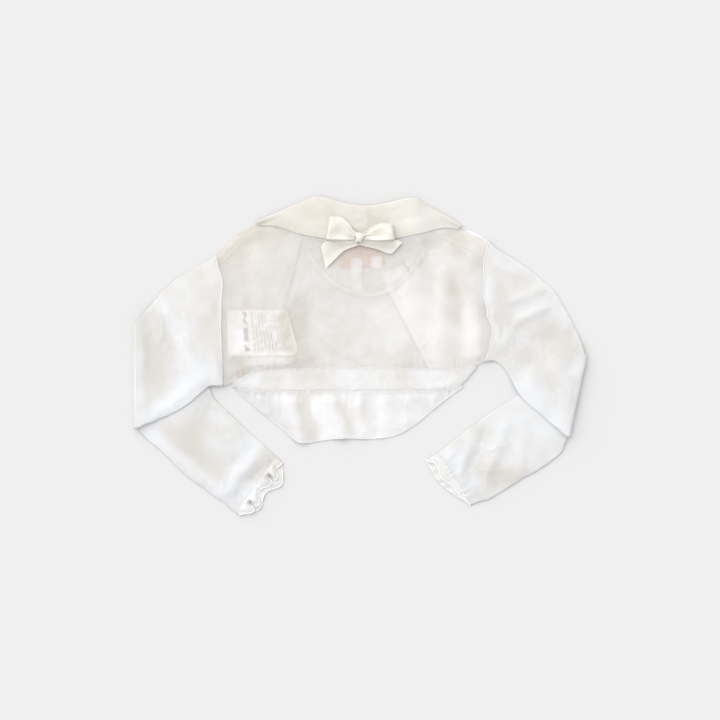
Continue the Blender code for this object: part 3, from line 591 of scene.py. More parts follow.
def satin(name, colour):
    """Satin ribbon: long floats that shine along it, with fine cross ribs."""
    shader = Shader(
        name, 0.36, 0.9, Anisotropic=0.55, Specular_IOR_Level=0.5, Sheen_Weight=0.15,
        Subsurface_Weight=0.6, Subsurface_Radius=(1.0, 0.95, 0.85), Subsurface_Scale=0.002,
    )
    x, y = shader.weave()
    streaks = shader.mottle(420.0, 2.0)
    floats = shader.maths("MULTIPLY_ADD", shader.wave(x, 0.3), 0.25, streaks)
    height = shader.maths("MULTIPLY_ADD", shader.wave(y, 0.45), 0.5, floats)
    return shader.finish(shader.tone(streaks, *shades(colour, 0.03)), height, 0.05)


def woven(name, colour, pitch, spread):
    """A woven label or tape: over and under threads, one set of them raised."""
    shader = Shader(name, 0.6, Specular_IOR_Level=0.3, Sheen_Weight=0.1)
    x, y = shader.weave()
    cross = shader.maths("MULTIPLY", shader.wave(x, pitch), shader.wave(y, pitch))
    uneven = shader.mottle(500.0)
    tone = shader.maths("MULTIPLY_ADD", cross, 0.3, uneven)
    return shader.finish(shader.tone(tone, *shades(colour, spread)), shader.maths("ADD", cross, uneven), 0.06)


def ruled_label(name, whitest_and_lit, creamiest_and_shaded, ink, pitch, heavy, left, right, low, high):
    """Label ribbon with plain ruled lines along it, the first of them heavy."""
    shader = Shader(name, 0.5, Specular_IOR_Level=0.35)
    x, y = shader.weave()

    def between(value, start, end):
        after, before = shader.maths("GREATER_THAN", value, start), shader.maths("LESS_THAN", value, end)
        return shader.maths("MULTIPLY", after, before)

    stripe = shader.maths("GREATER_THAN", shader.maths("FRACT", shader.maths("DIVIDE", x, pitch)), 0.5)
    fine = shader.maths("MULTIPLY", shader.maths("MULTIPLY", stripe, between(x, left, right)), 0.6)
    lines = shader.maths("MAXIMUM", fine, between(x, left - 2.6 - heavy, left - 2.6))
    broken = shader.maths("GREATER_THAN", shader.mottle(260.0, 0.0), 0.4)
    ruled = shader.maths("MULTIPLY", shader.maths("MULTIPLY", lines, broken), between(y, low, high))
    paper = shader.cream_with_painted_shading(0.5, whitest_and_lit, creamiest_and_shaded)
    return shader.finish(shader.tone(ruled, paper, ink), shader.mottle(500.0), 0.05)


def thread(name, colour):
    """Sewing thread: two plies that wind round each other."""
    shader = Shader(name, 0.55, Sheen_Weight=0.2, Specular_IOR_Level=0.4)
    twist = shader.mottle(2500.0, 1.0)
    return shader.finish(shader.tone(twist, *shades(colour, 0.05)), twist, 0.05)


# The back, fronts, casing, hem, sleeves and frill are one white knit. Each piece gets its own white, cream
# and balance, lighter or darker as the light fell on it and through the cloth over it: painted light and
# shade. The bluish whites are painted light.
OFF_WHITE_LIT_AND_SHADED = (0.96, 0.973, 0.995), (0.85, 0.82, 0.775)
BACK_KNIT = knit("back_knit", (1.0, 0.99, 0.985), (0.82, 0.775, 0.71), neutral=0.44, alpha=0.38)
FRONT_LEFT_KNIT = knit("front_left_knit", (0.96, 0.94, 0.905), (0.87, 0.83, 0.77), neutral=0.5, alpha=0.75)
FRONT_RIGHT_KNIT = knit("front_right_knit", (0.97, 0.95, 0.955), (0.90, 0.86, 0.82), neutral=0.2, alpha=0.95)
CASING_KNIT = knit(
    "casing_knit", (0.905, 0.91, 0.92), (0.80, 0.765, 0.715), neutral=0.26, alpha=0.72, course=0.7
)
HEM_KNIT = knit("hem_knit", (0.945, 0.95, 0.965), (0.76, 0.72, 0.67), neutral=0.18, alpha=0.75)
SLEEVE_KNIT = knit("sleeve_knit", *OFF_WHITE_LIT_AND_SHADED, neutral=0.49, alpha=0.66)
SLEEVE_UNDERSIDE_KNIT = knit("sleeve_underside_knit", *OFF_WHITE_LIT_AND_SHADED, neutral=0.49, alpha=1.0)
FRILL_KNIT = knit("frill_knit", *OFF_WHITE_LIT_AND_SHADED, neutral=0.5, alpha=0.66)
SEAM_KNIT = knit(
    "seam_knit", (0.86, 0.855, 0.84), (0.78, 0.76, 0.72), neutral=0.4, alpha=1.0, wale=0.6, course=0.5,
    depth=0.1,
)
COLLAR_KNIT = knit(
    "collar_knit", (0.735, 0.72, 0.675), (0.635, 0.60, 0.53), neutral=0.45, alpha=1.0, wale=0.9, course=0.7,
    depth=0.1,
)
CREAM_SATIN = satin("cream_satin", (0.91, 0.86, 0.755))
TAPE_WEAVE = woven("tape_weave", (0.82, 0.79, 0.75), pitch=0.7, spread=0.03)
TAN_WEAVE = woven("tan_weave", (0.60, 0.26, 0.07), pitch=0.5, spread=0.12)
WHITE_RIBBON = woven("white_label_ribbon", (0.82, 0.79, 0.785), pitch=0.4, spread=0.02)
CARE_RIBBON = ruled_label(
    "care_label_ribbon", (0.93, 0.955, 1.0), (0.88, 0.84, 0.79), (0.13, 0.13, 0.14, 1.0),
    pitch=2.9, heavy=4.0, left=26.4, right=65.0, low=4.5, high=41.5,
)
WHITE_THREAD = thread("white_thread", (0.82, 0.82, 0.815))
# This dark grey thread also paints shadow: along the fronts' edges and along the neck tape's edges.
GREY_THREAD_AND_PAINTED_SHADOW = thread("shaded_thread", (0.40, 0.38, 0.36))
CREAM_THREAD = thread("cream_thread", (0.55, 0.52, 0.46))


# --- Making pieces ---


def added(name, data):
    """A new object in the scene."""
    made = bpy.data.objects.new(name, data)
    bpy.context.scene.collection.objects.link(made)
    return made


def keep(name, bm, materials, node=None):
    """Makes a shaped mesh a piece of the garment, in place of its solid where it has one."""
    mesh = bpy.data.meshes.new(name)
    bm.to_mesh(mesh)
    bm.free()
    for material in materials:
        mesh.materials.append(material)
    mesh.shade_smooth()
    piece = added(name, mesh)
    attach(piece, "root")
    if node:
        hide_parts(node)
    return piece


def flat_cloth(columns, rows):
    """A square of cloth with its own coordinates, and where each of its points lies on it."""
    bm = bmesh.new()
    bm.loops.layers.uv.new("weave")
    bm.verts.layers.float.new("cream_and_painted_shading")
    bmesh.ops.create_grid(bm, x_segments=columns, y_segments=rows, size=0.5)
    return bm, {vert: (vert.co.x + 0.5, vert.co.y + 0.5) for vert in bm.verts}


def lay_weave(bm, flat, weave_at):
    """Writes the weave's coordinates, which are weave_at(u, v) at each point."""
    weave = bm.loops.layers.uv["weave"]
    for face in bm.faces:
        for loop in face.loops:
            loop[weave].uv = weave_at(*flat[loop.vert])


SHEETS = []


def sew(name, columns, rows, cut, place, thickness, materials, slot, node, closed=False, lower=None, on=()):
    """A sheet of cloth. place(u, v) puts its middle in place. cut is its flat width and length, the share of
    that rectangle that the cut fills, and how it is held. on names what it lies on.

    A closed one meets itself round a tube. lower(u, v) says which of its faces take the second material.
    """
    bm, flat = flat_cloth(columns, rows)
    cream_with_painted_shading = bm.verts.layers.float["cream_and_painted_shading"]
    for face in bm.faces:
        middle = face.calc_center_median()
        if lower and lower(middle.x + 0.5, middle.y + 0.5):
            face.material_index = 1
    lay_weave(bm, flat, lambda u, v: (u * cut.width, v * cut.length))
    for vert, (u, v) in flat.items():
        x, y, z = place(u, v)
        # Each point's tone: a random drift, with painted shade and light
        vert[cream_with_painted_shading] = cream_and_painted_shading(x, y)
        vert.co = placed(x, y, z)
    if closed:
        bmesh.ops.remove_doubles(bm, verts=bm.verts, dist=0.02 * MM)
        bmesh.ops.recalc_face_normals(bm, faces=bm.faces)
    for edge in bm.edges:
        edge.smooth = not edge.is_boundary
    piece = keep(name, bm, materials, node)
    wall = piece.modifiers.new("cloth", "SOLIDIFY")
    wall.thickness, wall.offset = thickness * MM, 0.0
    SHEETS.append(Sheet(piece, cut, on, []))
    return piece


def knitted(node, columns, rows, cut, place, slot, *materials, **more):
    """A sheet of the garment's knit."""
    return sew(f"{node}_knit", columns, rows, cut, place, KNIT, materials, slot, node, **more)


def ribbon(node, columns, rows, cut, place, **more):
    """A piece of the bow's satin ribbon."""
    sew(f"{node}_satin", columns, rows, cut, place, RIBBON, [CREAM_SATIN], "satin_ribbon", node, **more)


def trimmed(piece, trim):
    """Notes a trim or a row of stitches on a sheet."""
    next(sheet for sheet in SHEETS if sheet.piece == piece).trims.append(trim)


def bead(name, path, radius, material, wrap):
    """A cord-like edge or seam along a path. wrap is the pitch of the thread that binds it, if any."""
    steps = len(path) - 1
    run = [0.0]
    for a, b in zip(path, path[1:]):
        run.append(run[-1] + (b - a).length)
    bm, flat = flat_cloth(CORD_SIDES, steps)
    lay_weave(bm, flat, lambda u, v: (u * 2 * pi * radius, run[round(v * steps)]))
    for vert, (u, v) in flat.items():
        k = round(v * steps)
        forward = (path[min(k + 1, steps)] - path[max(k - 1, 0)]).normalized()
        side = forward.cross(Vector((0, 0, 1)))
        side = side.normalized() if side.length > 1e-6 else Vector((1, 0, 0))
        up = side.cross(forward)
        thick = radius * (1 + (0.16 * cos(2 * pi * run[k] / wrap) if wrap else 0.0))
        if path[0] != path[-1]:
            from_end = min(k, steps - k)
            thick *= (min(from_end, 2) / 2) ** 0.5 if from_end else 0.05
        vert.co = placed(*(path[k] + (side * cos(2 * pi * u) + up * sin(2 * pi * u)) * thick))
    bmesh.ops.remove_doubles(bm, verts=bm.verts, dist=0.01 * MM)
    bmesh.ops.holes_fill(bm, edges=bm.edges, sides=CORD_SIDES)
    bmesh.ops.recalc_face_normals(bm, faces=bm.faces)
    return keep(name, bm, [material])


def evenly(path, pitch):
    """Points every pitch along a path, each with the direction of the path there."""
    found, left = [], pitch / 2
    for a, b in zip(path, path[1:]):
        length = (b - a).length
        while left <= length and length > 0:
            found.append((a.lerp(b, left / length), (b - a).normalized()))
            left += pitch
        left -= length
    return found


def stitches(name, paths, pitch, length, radius, material):
    """Rows of sewn stitches: a small rounded run of thread at each, slightly sunk in the cloth."""
    bm = bmesh.new()
    for path in paths:
        for spot, forward in evenly(path, pitch):
            side = Vector((-forward.y, forward.x, 0.0)).normalized()
            turn = Matrix((forward, side, forward.cross(side))).transposed().to_4x4()
            shape = Matrix.Diagonal((length / 2, radius, radius, 1.0 / MM)) * MM
            place = Matrix.Translation(placed(*spot)) @ turn @ shape
            bmesh.ops.create_uvsphere(bm, u_segments=6, v_segments=5, radius=1.0, matrix=place)
    return keep(name, bm, [material])


def smooth_path(points, count):
    """Points along the smooth curve through a table's rows."""
    return [row_at(points, k / count) for k in range(count + 1)]


def laid_on(surface, points, lift, count):
    """A smooth path through the points, laid on a sheet's surface."""
    spots = [(p.x, p.y, surface(p.x, p.y)) for p in smooth_path(points, count)]
    return [Vector((x, y, top + lift)) for x, y, top in spots if top is not None]


def beside(points, offset):
    """The points of a smooth line, moved sideways."""
    moved = []
    for k in range(BESIDE_STEPS + 1):
        behind, here, ahead = (row_at(points, (k + step) / BESIDE_STEPS) for step in (-0.5, 0, 0.5))
        run_x, run_y = ahead.x - behind.x, ahead.y - behind.y
        length = max(hypot(run_x, run_y), 1e-6)
        moved.append(Point(here.x - run_y / length * offset, here.y + run_x / length * offset))
    return moved


# --- Body ---


def make_fronts():
    """The two fronts, which lie flat under the back. A turned band finishes each opening edge."""
    made = []
    rows = (
        ("left", FRONT_LEFT, 1, Cut(72, 166, 0.7, "laid"), FRONT_LEFT_KNIT),
        ("right", FRONT_RIGHT, 0, Cut(104, 124, 0.6, "laid"), FRONT_RIGHT_KNIT),
    )
    for side, table, opening, cut, front_knit in rows:

        def place(u, v, table=table, opening=opening):
            x, y = on_panel(table, u, v, rising)
            (ax, ay), (bx, by) = on_panel(table, 0, v, rising), on_panel(table, 1, v, rising)
            to_edge = abs(opening - u) * hypot(ax - bx, ay - by)
            band = 0.3 * (1 - eased((to_edge - FRONT_BAND) / 1.2))
            return bowed(x, y), y, RESTING + band + 0.2 * max(slack(x, y, 2), 0.0)

        made.append(knitted(f"front_{side}", 60, 90, cut, place, "knit_front", front_knit))
    return made


def make_back():
    """The back, which sags over the fronts, the care label and the neck tape."""
    under = solid_height("back_panel", 5)
    label_top = solid_height("care_label", 0)

    def place(u, v):
        x, y = on_panel(BACK, u, v, rising)
        base = under(*on_panel(BACK, mix(0.012, 0.988, u), mix(0.012, 0.988, v), rising)) - CAD_WALL / 2
        line = rising(BACK, u)
        length = hypot(line.high_x - line.low_x, line.high_y - line.low_y)
        from_seam, from_shoulder = v * length, (1 - v) * length
        relief = 0.5 * slack(x, y, 4) + folds_at(BACK_FOLDS, x, y)
        relief *= eased(from_seam / 5) * eased(from_shoulder / SHOULDER_SLOPE)
        height = max(base + relief, RESTING if label_top(x, y) is None else OVER_LABEL)
        height = mix(SHOULDER_EDGE, height, eased(from_shoulder / SHOULDER_SLOPE))
        height = mix(WAIST_EDGE, height, eased(from_seam / WAIST_SLOPE))
        puckers = gathers(x, from_seam, pitch=7.5, height=0.42, reach=16, seed=3)
        height += puckers * eased(from_seam / 1.2 + 0.3)
        for armhole in ARMHOLES.values():
            height = joined(armhole, x, y, height)
        return bowed(x, y), y, max(height, RESTING)

    cut = Cut(256, 160, 0.85, "laid")
    return knitted(
        "back_panel", 170, 110, cut, place, "knit_back", BACK_KNIT,
        on=["front_left_knit", "front_right_knit", "care_label_front", "neck_tape_weave"],
    )


def make_casing():
    """The waist casing: a narrow tube of cloth, crumpled by the elastic inside it."""

    def place(u, v):
        x = mix(HEM_SEAM[0].x, HEM_SEAM[-1].x, v)
        upper = seam_y(WAIST_SEAM, x) - SEAM
        lower = min(seam_y(HEM_SEAM, x), upper - 1.2)
        turn = 2 * pi * u
        across = 0.5 - 0.5 * cos(turn)
        y = mix(lower, upper, across)
        wall = abs(sin(turn)) ** 0.5
        if sin(turn) < 0:
            return x, y, mix(WAIST_EDGE, RESTING, wall)
        crumple = gathers(x + 0.5 * y, 0.0, pitch=6, height=0.22, reach=30, seed=8)
        crumple += 0.4 * wander(x, y, 6.5, 31)
        crumple += 0.12 * sin(2 * pi * (across * 1.6 + 0.9 * wander(x, 0, 16, 12)))
        return x, y, WAIST_EDGE + wall * (0.3 + crumple * min((upper - lower) / 12, 1.0))

    cut = Cut(36, 252, 1.0, "gathered")
    return knitted("waist_casing", 28, 260, cut, place, "knit_casing", CASING_KNIT, closed=True)


def make_hem_band():
    """The hem band: gathered on to the casing, with soft flutes that end at its free edge."""

    def place(u, v):
        x, y = on_panel(HEM, u, v, hanging)
        from_seam = seam_y(HEM_SEAM, x) - y
        crease = folds_at(HEM_FOLDS, x, y) * eased((1 - v) * 4)
        loose = 0.45 * slack(x, y, 9) * eased((1 - v) * 5) * eased(v * 4 + 0.3)
        tall = mix(0.5, 0.16, eased(0.5 + x / 40))
        pucker = gathers(x, from_seam, pitch=8, height=tall, reach=14, seed=6)
        edge_wave = 0.35 * cos(x / 3.1 + 2 * wander(x, 0, 12, 3)) * exp(-v * 18)
        height = 0.35 + crease + loose + pucker + edge_wave
        return x, y, max(mix(WAIST_EDGE, height, eased(from_seam / 5)) + 0.5 * pucker, RESTING)

    cut = Cut(222, 50, 0.75, "gathered")
    return knitted("hem_band", 170, 46, cut, place, "knit_hem", HEM_KNIT)


# --- Sleeves and cuff frills ---


def round_tube(across, rounds):
    """Spots round a flat tube: the share across it, its side (1 above and 0 below) and its end's push."""
    shares = [k / across for k in range(across + 1)]
    turns = [pi * k / rounds for k in range(1, rounds)]
    points = [Round(share, 1.0, 0.0) for share in shares]
    points += [Round(1.0, 0.5 + 0.5 * cos(turn), sin(turn)) for turn in turns]
    points += [Round(1 - share, 0.0, 0.0) for share in shares]
    points += [Round(0.0, 0.5 - 0.5 * cos(turn), -sin(turn)) for turn in turns]
    return points + points[:1]


TUBE = round_tube(across=64, rounds=6)
FINE_TUBE = round_tube(across=132, rounds=18)


def cuff_gathers(spot, from_cuff, seed):
    """The puckers where the frill is gathered on to the cuff, along the upper wall."""
    return gathers(spot.share * 56, from_cuff, pitch=7, height=0.55, reach=11, seed=seed) * full(spot.share)


def uneven_edge(x, y):
    """How far a sleeve's outline lies inside its plain line at (x, y)."""
    return 0.35 + 0.9 * wander(x, y, 9.0, 71.0) + folds_at(NICKS, x, y)


def across_ring(ring, share, push, height):
    """A point across a sleeve's ring, inset so that its rounded ends reach the ring's own width."""
    run_x, run_y = ring.outer_x - ring.inner_x, ring.outer_y - ring.inner_y
    width = hypot(run_x, run_y)
    inset = height / 2 + KNIT / 2
    inner = inset + uneven_edge(ring.inner_x, ring.inner_y)
    outer = width - inset - uneven_edge(ring.outer_x, ring.outer_y)
    along = mix(inner, outer, share) + push * height / 2
    return ring.inner_x + run_x * along / width, ring.inner_y + run_y * along / width


def full(share):
    """How full a flattened sleeve is, from 0 at its edges to 1 in its middle."""
    return 1 - (2 * share - 1) ** 4


def flat_height(share):
    """The height of a sleeve away from its armhole and fold."""
    return mix(EDGE_HEIGHT, MIDDLE_HEIGHT, full(share))


def length_of(table):
    """The length of a sleeve's table along its middle."""
    middles = [(r.outer_x + r.inner_x, r.outer_y + r.inner_y) for r in smooth_path(table, 40)]
    return sum(hypot(ax - bx, ay - by) for (ax, ay), (bx, by) in zip(middles, middles[1:])) / 2


def make_sleeve(side, upper, lower, upper_folds, forearm_folds, seed):
    """A sleeve: out from the armhole, under at the elbow and on to the cuff."""
    covered = [(r.outer_x, r.outer_y) for r in lower] + [(r.inner_x, r.inner_y) for r in reversed(lower)]
    fold = upper[-1]
    outward = Vector((fold.outer_y - fold.inner_y, fold.inner_x - fold.outer_x, 0.0)).normalized()
    if outward.x * fold.outer_x < 0:
        outward = -outward
    upper_length, lower_length = length_of(upper), length_of(lower)
    total = UPPER_ROWS + TURN_ROWS + LOWER_ROWS
    axis = RESTING + (FOLD_LIFT + SET_IN_HEIGHT) / 2

    def round_at(table, t, spot, near):
        """A point round the sleeve and its height there. near is 1 where the sleeve is at its fullest."""
        height = mix(flat_height(spot.share), SET_IN_HEIGHT, near)
        return *across_ring(row_at(table, t), spot.share, spot.push, height), height

    def on_upper(spot, t):
        from_armhole, from_fold = t * upper_length, (1 - t) * upper_length
        near = max(1 - eased(from_armhole / SET_IN_REACH), 1 - eased(from_fold / FOLD_REACH))
        x, y, height = round_at(upper, t, spot, near)
        off_forearm = gap_to(covered, x, y) + 3 * wander(x, y, 15, seed + 21)
        lift = mix(FOLD_LIFT, COVER_LIFT, eased(from_fold / FOLD_REACH))
        lift *= 1 - eased((off_forearm - DRAPE_START) / DRAPE_WIDTH)
        calm = eased(from_armhole / 7) * eased(from_fold / 12)
        relief = (folds_at(upper_folds, x, y) + 0.85 * slack(x, y, seed)) * full(spot.share) ** 0.5 * calm
        under = 0.3 * max(slack(x, y, seed + 3), 0.0) * calm
        return bowed(x, y), y, RESTING + lift + mix(under, height + relief, spot.side)

    def on_lower(spot, t):
        from_cuff = (1 - t) * lower_length
        x, y, height = round_at(lower, t, spot, 1 - eased(t * lower_length / FOLD_REACH))
        relief = (folds_at(forearm_folds, x, y) + 0.85 * slack(x, y, seed + 5)) * full(spot.share) ** 0.5
        relief *= eased(3.2 * t - 1.1) * eased(from_cuff / 9)
        return x, y, RESTING + (height + relief + cuff_gathers(spot, from_cuff, seed)) * (1 - spot.side)

    def place(u, v):
        spot = TUBE[round(u * (len(TUBE) - 1))]
        row = round(v * total)
        if row <= UPPER_ROWS:
            return on_upper(spot, row / UPPER_ROWS)
        if row >= UPPER_ROWS + TURN_ROWS:
            return on_lower(spot, (row - UPPER_ROWS - TURN_ROWS) / LOWER_ROWS)
        angle = pi * (row - UPPER_ROWS) / TURN_ROWS
        x, y = across_ring(fold, spot.share, spot.push, SET_IN_HEIGHT)
        reach = FOLD_LIFT / 2 + SET_IN_HEIGHT * (spot.side - 0.5)
        out = reach * sin(angle)
        return x + outward.x * out, y + outward.y * out, axis + reach * cos(angle)

    def on_ground(u, v):
        """Says if a face lies on the floor. Past the elbow that is the wall that was the upper one."""
        return v * total > UPPER_ROWS + TURN_ROWS / 2 and TUBE[round(u * (len(TUBE) - 1))].side > 0.5

    cut = Cut(252, upper_length + lower_length + 8, 0.75, "folded")
    knitted(
        f"sleeve_{side}", len(TUBE) - 1, total, cut, place, "knit_sleeve", SLEEVE_KNIT, SLEEVE_UNDERSIDE_KNIT,
        closed=True, lower=on_ground,
    )


def lobes_at(lobes, share):
    """How far into a lobe of the frill this share of its width lies: 0 between lobes, 1 at their middles."""
    return 0.5 - 0.5 * cos(2 * pi * lobes * share)


def meander(waves, swing, lobes):
    """A winding line from 0 to 1, as a river winds that swings this far each way: its points (along, aside).
    It winds most in the middle of each lobe."""
    along, aside, points = 0.0, 0.0, [(0.0, 0.0)]
    for k in range(WINDING_STEPS):
        share = (k + 0.5) / WINDING_STEPS
        angle = swing * (0.25 + 0.75 * lobes_at(lobes, share)) * sin(2 * pi * waves * share)
        along, aside = along + cos(angle), aside + sin(angle)
        points.append((along, aside))
    middle = sum(p[1] for p in points) / len(points)
    return [(p[0] / along, (p[1] - middle) / along) for p in points]


def make_frill(side, lower, depths, waves, swing, lobes, reach, stand, rounding, seed):
    """The cuff's lettuce frill. Its edge winds from side to side above, and lies nearly flat below."""
    cuff, before = lower[-1], row_at(lower, 0.93)
    out = Vector((cuff.outer_x + cuff.inner_x - before.outer_x - before.inner_x,
                  cuff.outer_y + cuff.inner_y - before.outer_y - before.inner_y, 0.0)).normalized()
    across = Vector((cuff.outer_x - cuff.inner_x, cuff.outer_y - cuff.inner_y, 0.0))
    width = across.length
    across.normalize()
    winding = meander(waves, swing, lobes)
    span = max(abs(p[1]) for p in winding) * width

    def ruffled(spot, v):
        """The frill at a spot round the cuff, and v out from its seam. Past the fold it is on top where the
        side is 0, and curls back there, so that its lower wall shows beyond it."""
        top, here = 1 - spot.side, spot.share * width
        height = flat_height(spot.share)
        x, y = across_ring(cuff, spot.share, spot.push, height)
        window = eased(min(spot.share, 1 - spot.share) / 0.12)
        lobe = lobes_at(lobes, spot.share)
        depth = max(row_at(depths, spot.share).depth, 2.0)
        depth *= mix(1 - rounding, 1.0, window) * mix(1 - rounding, 1.0, lobe)
        along, aside = winding[round(spot.share * (len(winding) - 1))]
        free = v * window * top
        far = SEAM + v * mix(depth - 0.6, max(reach * depth, span + 1.0), top * window) + aside * width * free
        moved = Vector((x, y, 0.0)) + out * far + across * (along - spot.share) * width * free
        puff = sin(pi * min(v, 0.93)) * (0.35 + 0.9 * lobe) * (0.9 + 0.4 * wander(here, v, 17, seed))
        gathered = height + cuff_gathers(spot, 0.0, seed) * (1 - v)
        upper = mix(gathered, 1.2 + 0.4 * stand * lobe, eased(v)) + stand * window * puff
        ripple = 0.4 * v * (1 + cos(2 * pi * here / 9.5 + 3 * wander(here, 0, 15, seed)))
        swell = 0.25 + 0.45 * stand * lobe * sin(pi * v ** 1.6)
        return Vector((moved.x, moved.y, RESTING + upper * top + (ripple + swell) * (1 - top) * window))

    def place(u, v):
        return tuple(ruffled(FINE_TUBE[round(u * (len(FINE_TUBE) - 1))], v))

    name = f"cuff_frill_{side}"
    cut = Cut(2.1 * width, 12, 1.0, "gathered")
    frill = knitted(name, len(FINE_TUBE) - 1, 16, cut, place, "knit_frill", FRILL_KNIT, closed=True)
    edge = [ruffled(spot, 1.0) for spot in FINE_TUBE]
    rim = [Vector((p.x, p.y, max(p.z, 0.45))) for p in edge]
    trimmed(frill, bead(f"{name}_overlock", rim, 0.55, WHITE_THREAD, wrap=1.1))


# --- Collar, neck and labels ---


def make_collar(back):
    """The collar: rolled over at its fold, with its leaf lying down over the back and a turning below."""
    top = solid_height("collar", 2.5)
    below = height_over(back.data)
    clear = COLLAR_ROLL + CAD_WALL / 2
    leaf_rows, turn_rows = 38, 14

    def place(u, v):
        s = row_at(COLLAR, mix(0.004, 0.996, u))
        width = hypot(s.edge_x - s.fold_x, s.edge_y - s.fold_y)
        in_x, in_y = (s.edge_x - s.fold_x) / width, (s.edge_y - s.fold_y) / width

        def leaf(distance):
            probe = min(max(distance, clear + 1.0), width - 1.2)
            height = top(s.fold_x + in_x * probe, s.fold_y + in_y * probe)
            height = COLLAR_HEIGHT if height is None else height - CAD_WALL / 2
            return s.fold_x + in_x * distance, s.fold_y + in_y * distance, height

        row = round(v * (leaf_rows + turn_rows))
        if row <= leaf_rows:
            distance = mix(width, clear, row / leaf_rows)
            x, y, z = leaf(distance)
            calm = eased((distance - clear) / 4)
            z += 0.4 * max(slack(x, y, 15), -0.4) * calm * min(width / 30, 1.0)
            rest = below(x + in_x, y + in_y)
            if rest is not None:
                rest += 0.5 + 0.12 * wander(x, 0, 9, 17)
                z = mix(z, min(rest, z), exp(-(((width - distance) / 7) ** 2)) * calm)
            return x, y, z
        x, y, z = leaf(clear)
        done = s.turn * (row - leaf_rows) / turn_rows
        angle = min(done / COLLAR_ROLL, pi)
        along = max(done - pi * COLLAR_ROLL, 0.0) - COLLAR_ROLL * sin(angle)
        return x + in_x * along, y + in_y * along, z - COLLAR_ROLL * (1 - cos(angle))

    cut = Cut(214, 46, 0.75, "folded")
    return sew(
        "collar_cloth", 170, leaf_rows + turn_rows, cut, place, COLLAR_CLOTH, [COLLAR_KNIT], "collar_knit",
        "collar", on=["back_panel_knit"],
    )


def make_labels():
    """The neck label with its two tabs, and the care label with its second leaf."""

    def label(name, node, table, size, height, curl, weave, slot="label_white", on=(), columns=24, corner=0):
        """A flat label. curl lifts its two ends, and corner is the radius of its one rounded corner."""

        def place(u, v):
            x, y = on_panel(table, u, v)
            if corner:
                into = max((u - 1) * size[0] + corner, 0.0) / corner
                y += corner * (1 - (1 - min(into, 0.97) ** 2) ** 0.5) * (1 - v)
            return x, y, height + curl * (2 * u - 1) ** 2 + 0.12 * wander(x, y, 9, 21)

        sew(name, columns, 20, Cut(*size, 1.0, "laid"), place, LABEL, [weave], slot, node, on=on)

    label("neck_label_weave", "neck_label", NECK_LABEL, (42, 24), 0.45, 0.1, TAN_WEAVE, slot="neck_label")
    for name, table, length in (("size_tab", SIZE_TAB, 32.3), ("fibre_tab", FIBRE_TAB, 11.8)):
        label(f"{name}_ribbon", name, table, (10.4, length), 1.5, 0.2, WHITE_RIBBON, on=["neck_label_weave"])
    label(
        "care_label_front", "care_label", CARE_LABEL, (67, 43.7), 1.85, 0.2, CARE_RIBBON,
        on=["front_left_knit"], columns=60, corner=8,
    )
    label("care_label_back", "care_leaf", CARE_LEAF, (40, 10), 1.5, 0.1, WHITE_RIBBON, on=["front_left_knit"])


def make_neck_tape():
    """The tape over the half-moon seam at the back of the neck."""
    under = solid_height("neck_tape", 1.5)

    def place(u, v):
        middle, ahead, behind = (row_at(NECK_TAPE, u + step) for step in (0.0, 0.01, -0.01))
        aside = (v - 0.5) * TAPE_WIDTH / hypot(ahead.x - behind.x, ahead.y - behind.y)
        x, y = middle.x - (ahead.y - behind.y) * aside, middle.y + (ahead.x - behind.x) * aside
        top = under(mix(middle.x, x, 0.6), mix(middle.y, y, 0.6))
        return x, y, (CAD_WALL if top is None else top) - CAD_WALL / 2 + 0.25 * sin(pi * v)

    cut = Cut(158, 10, 0.4, "laid")
    return sew("neck_tape_weave", 150, 6, cut, place, KNIT, [TAPE_WEAVE], "neck_tape", "neck_tape")


# --- Bow ---


def loop_half(along):
    """Half the height of a bow loop, which opens away from the knot."""
    return LOOP_HEIGHT * (0.16 + 0.84 * eased(1.25 * along)) / 2


def away_from_knot(lines):
    """1 for a ribbon that runs out to the right, and -1 to the left."""
    return 1 if lines[-1].low_x > lines[0].low_x else -1


def make_loop(side, lines, base, pleat):
    """A loop of ribbon, pleated at the knot: out on top, round at its end, and back below."""
    rows, turn_rows = 30, 14
    total = 2 * rows + turn_rows
    outward = away_from_knot(lines)

    def place(u, v):
        row = round(v * total)
        angle = pi * min(max((row - rows) / turn_rows, 0.0), 1.0)
        along = min(row, total - row, rows) / rows
        fold = 2 * (u - 0.5) + 0.5 * wander(4 * u, along, 1, lines[0].low_x)
        pinch = pleat * cos(2 * pi * fold) * (1 - along) ** 1.3
        hollow = 2.3 * exp(-(((along - 0.62) / 0.24) ** 2) - ((u - 0.42) / 0.27) ** 2)
        belly = 0.8 * sin(pi * u) * eased(along)
        wave = 0.4 * sin(2 * pi * (1.4 * u + 0.7 * along)) * along
        wave += 0.5 * wander(18 * along, 12 * u, 5, lines[0].low_y)
        relief = mix(pinch - hollow + belly + wave, 0.35 * pinch, (1 - cos(angle)) / 2)
        x, y = on_panel(lines, along, u)
        half = loop_half(along)
        x += outward * (half * sin(angle) - LOOP_TUCK * (1 - eased(along / 0.2)))
        return x, y, base + LOOP_HEIGHT / 2 + half * cos(angle) + relief

    ribbon(f"bow_loop_{side}", 26, total, Cut(21, 62, 0.75, "folded"), place, on=["collar_cloth"])


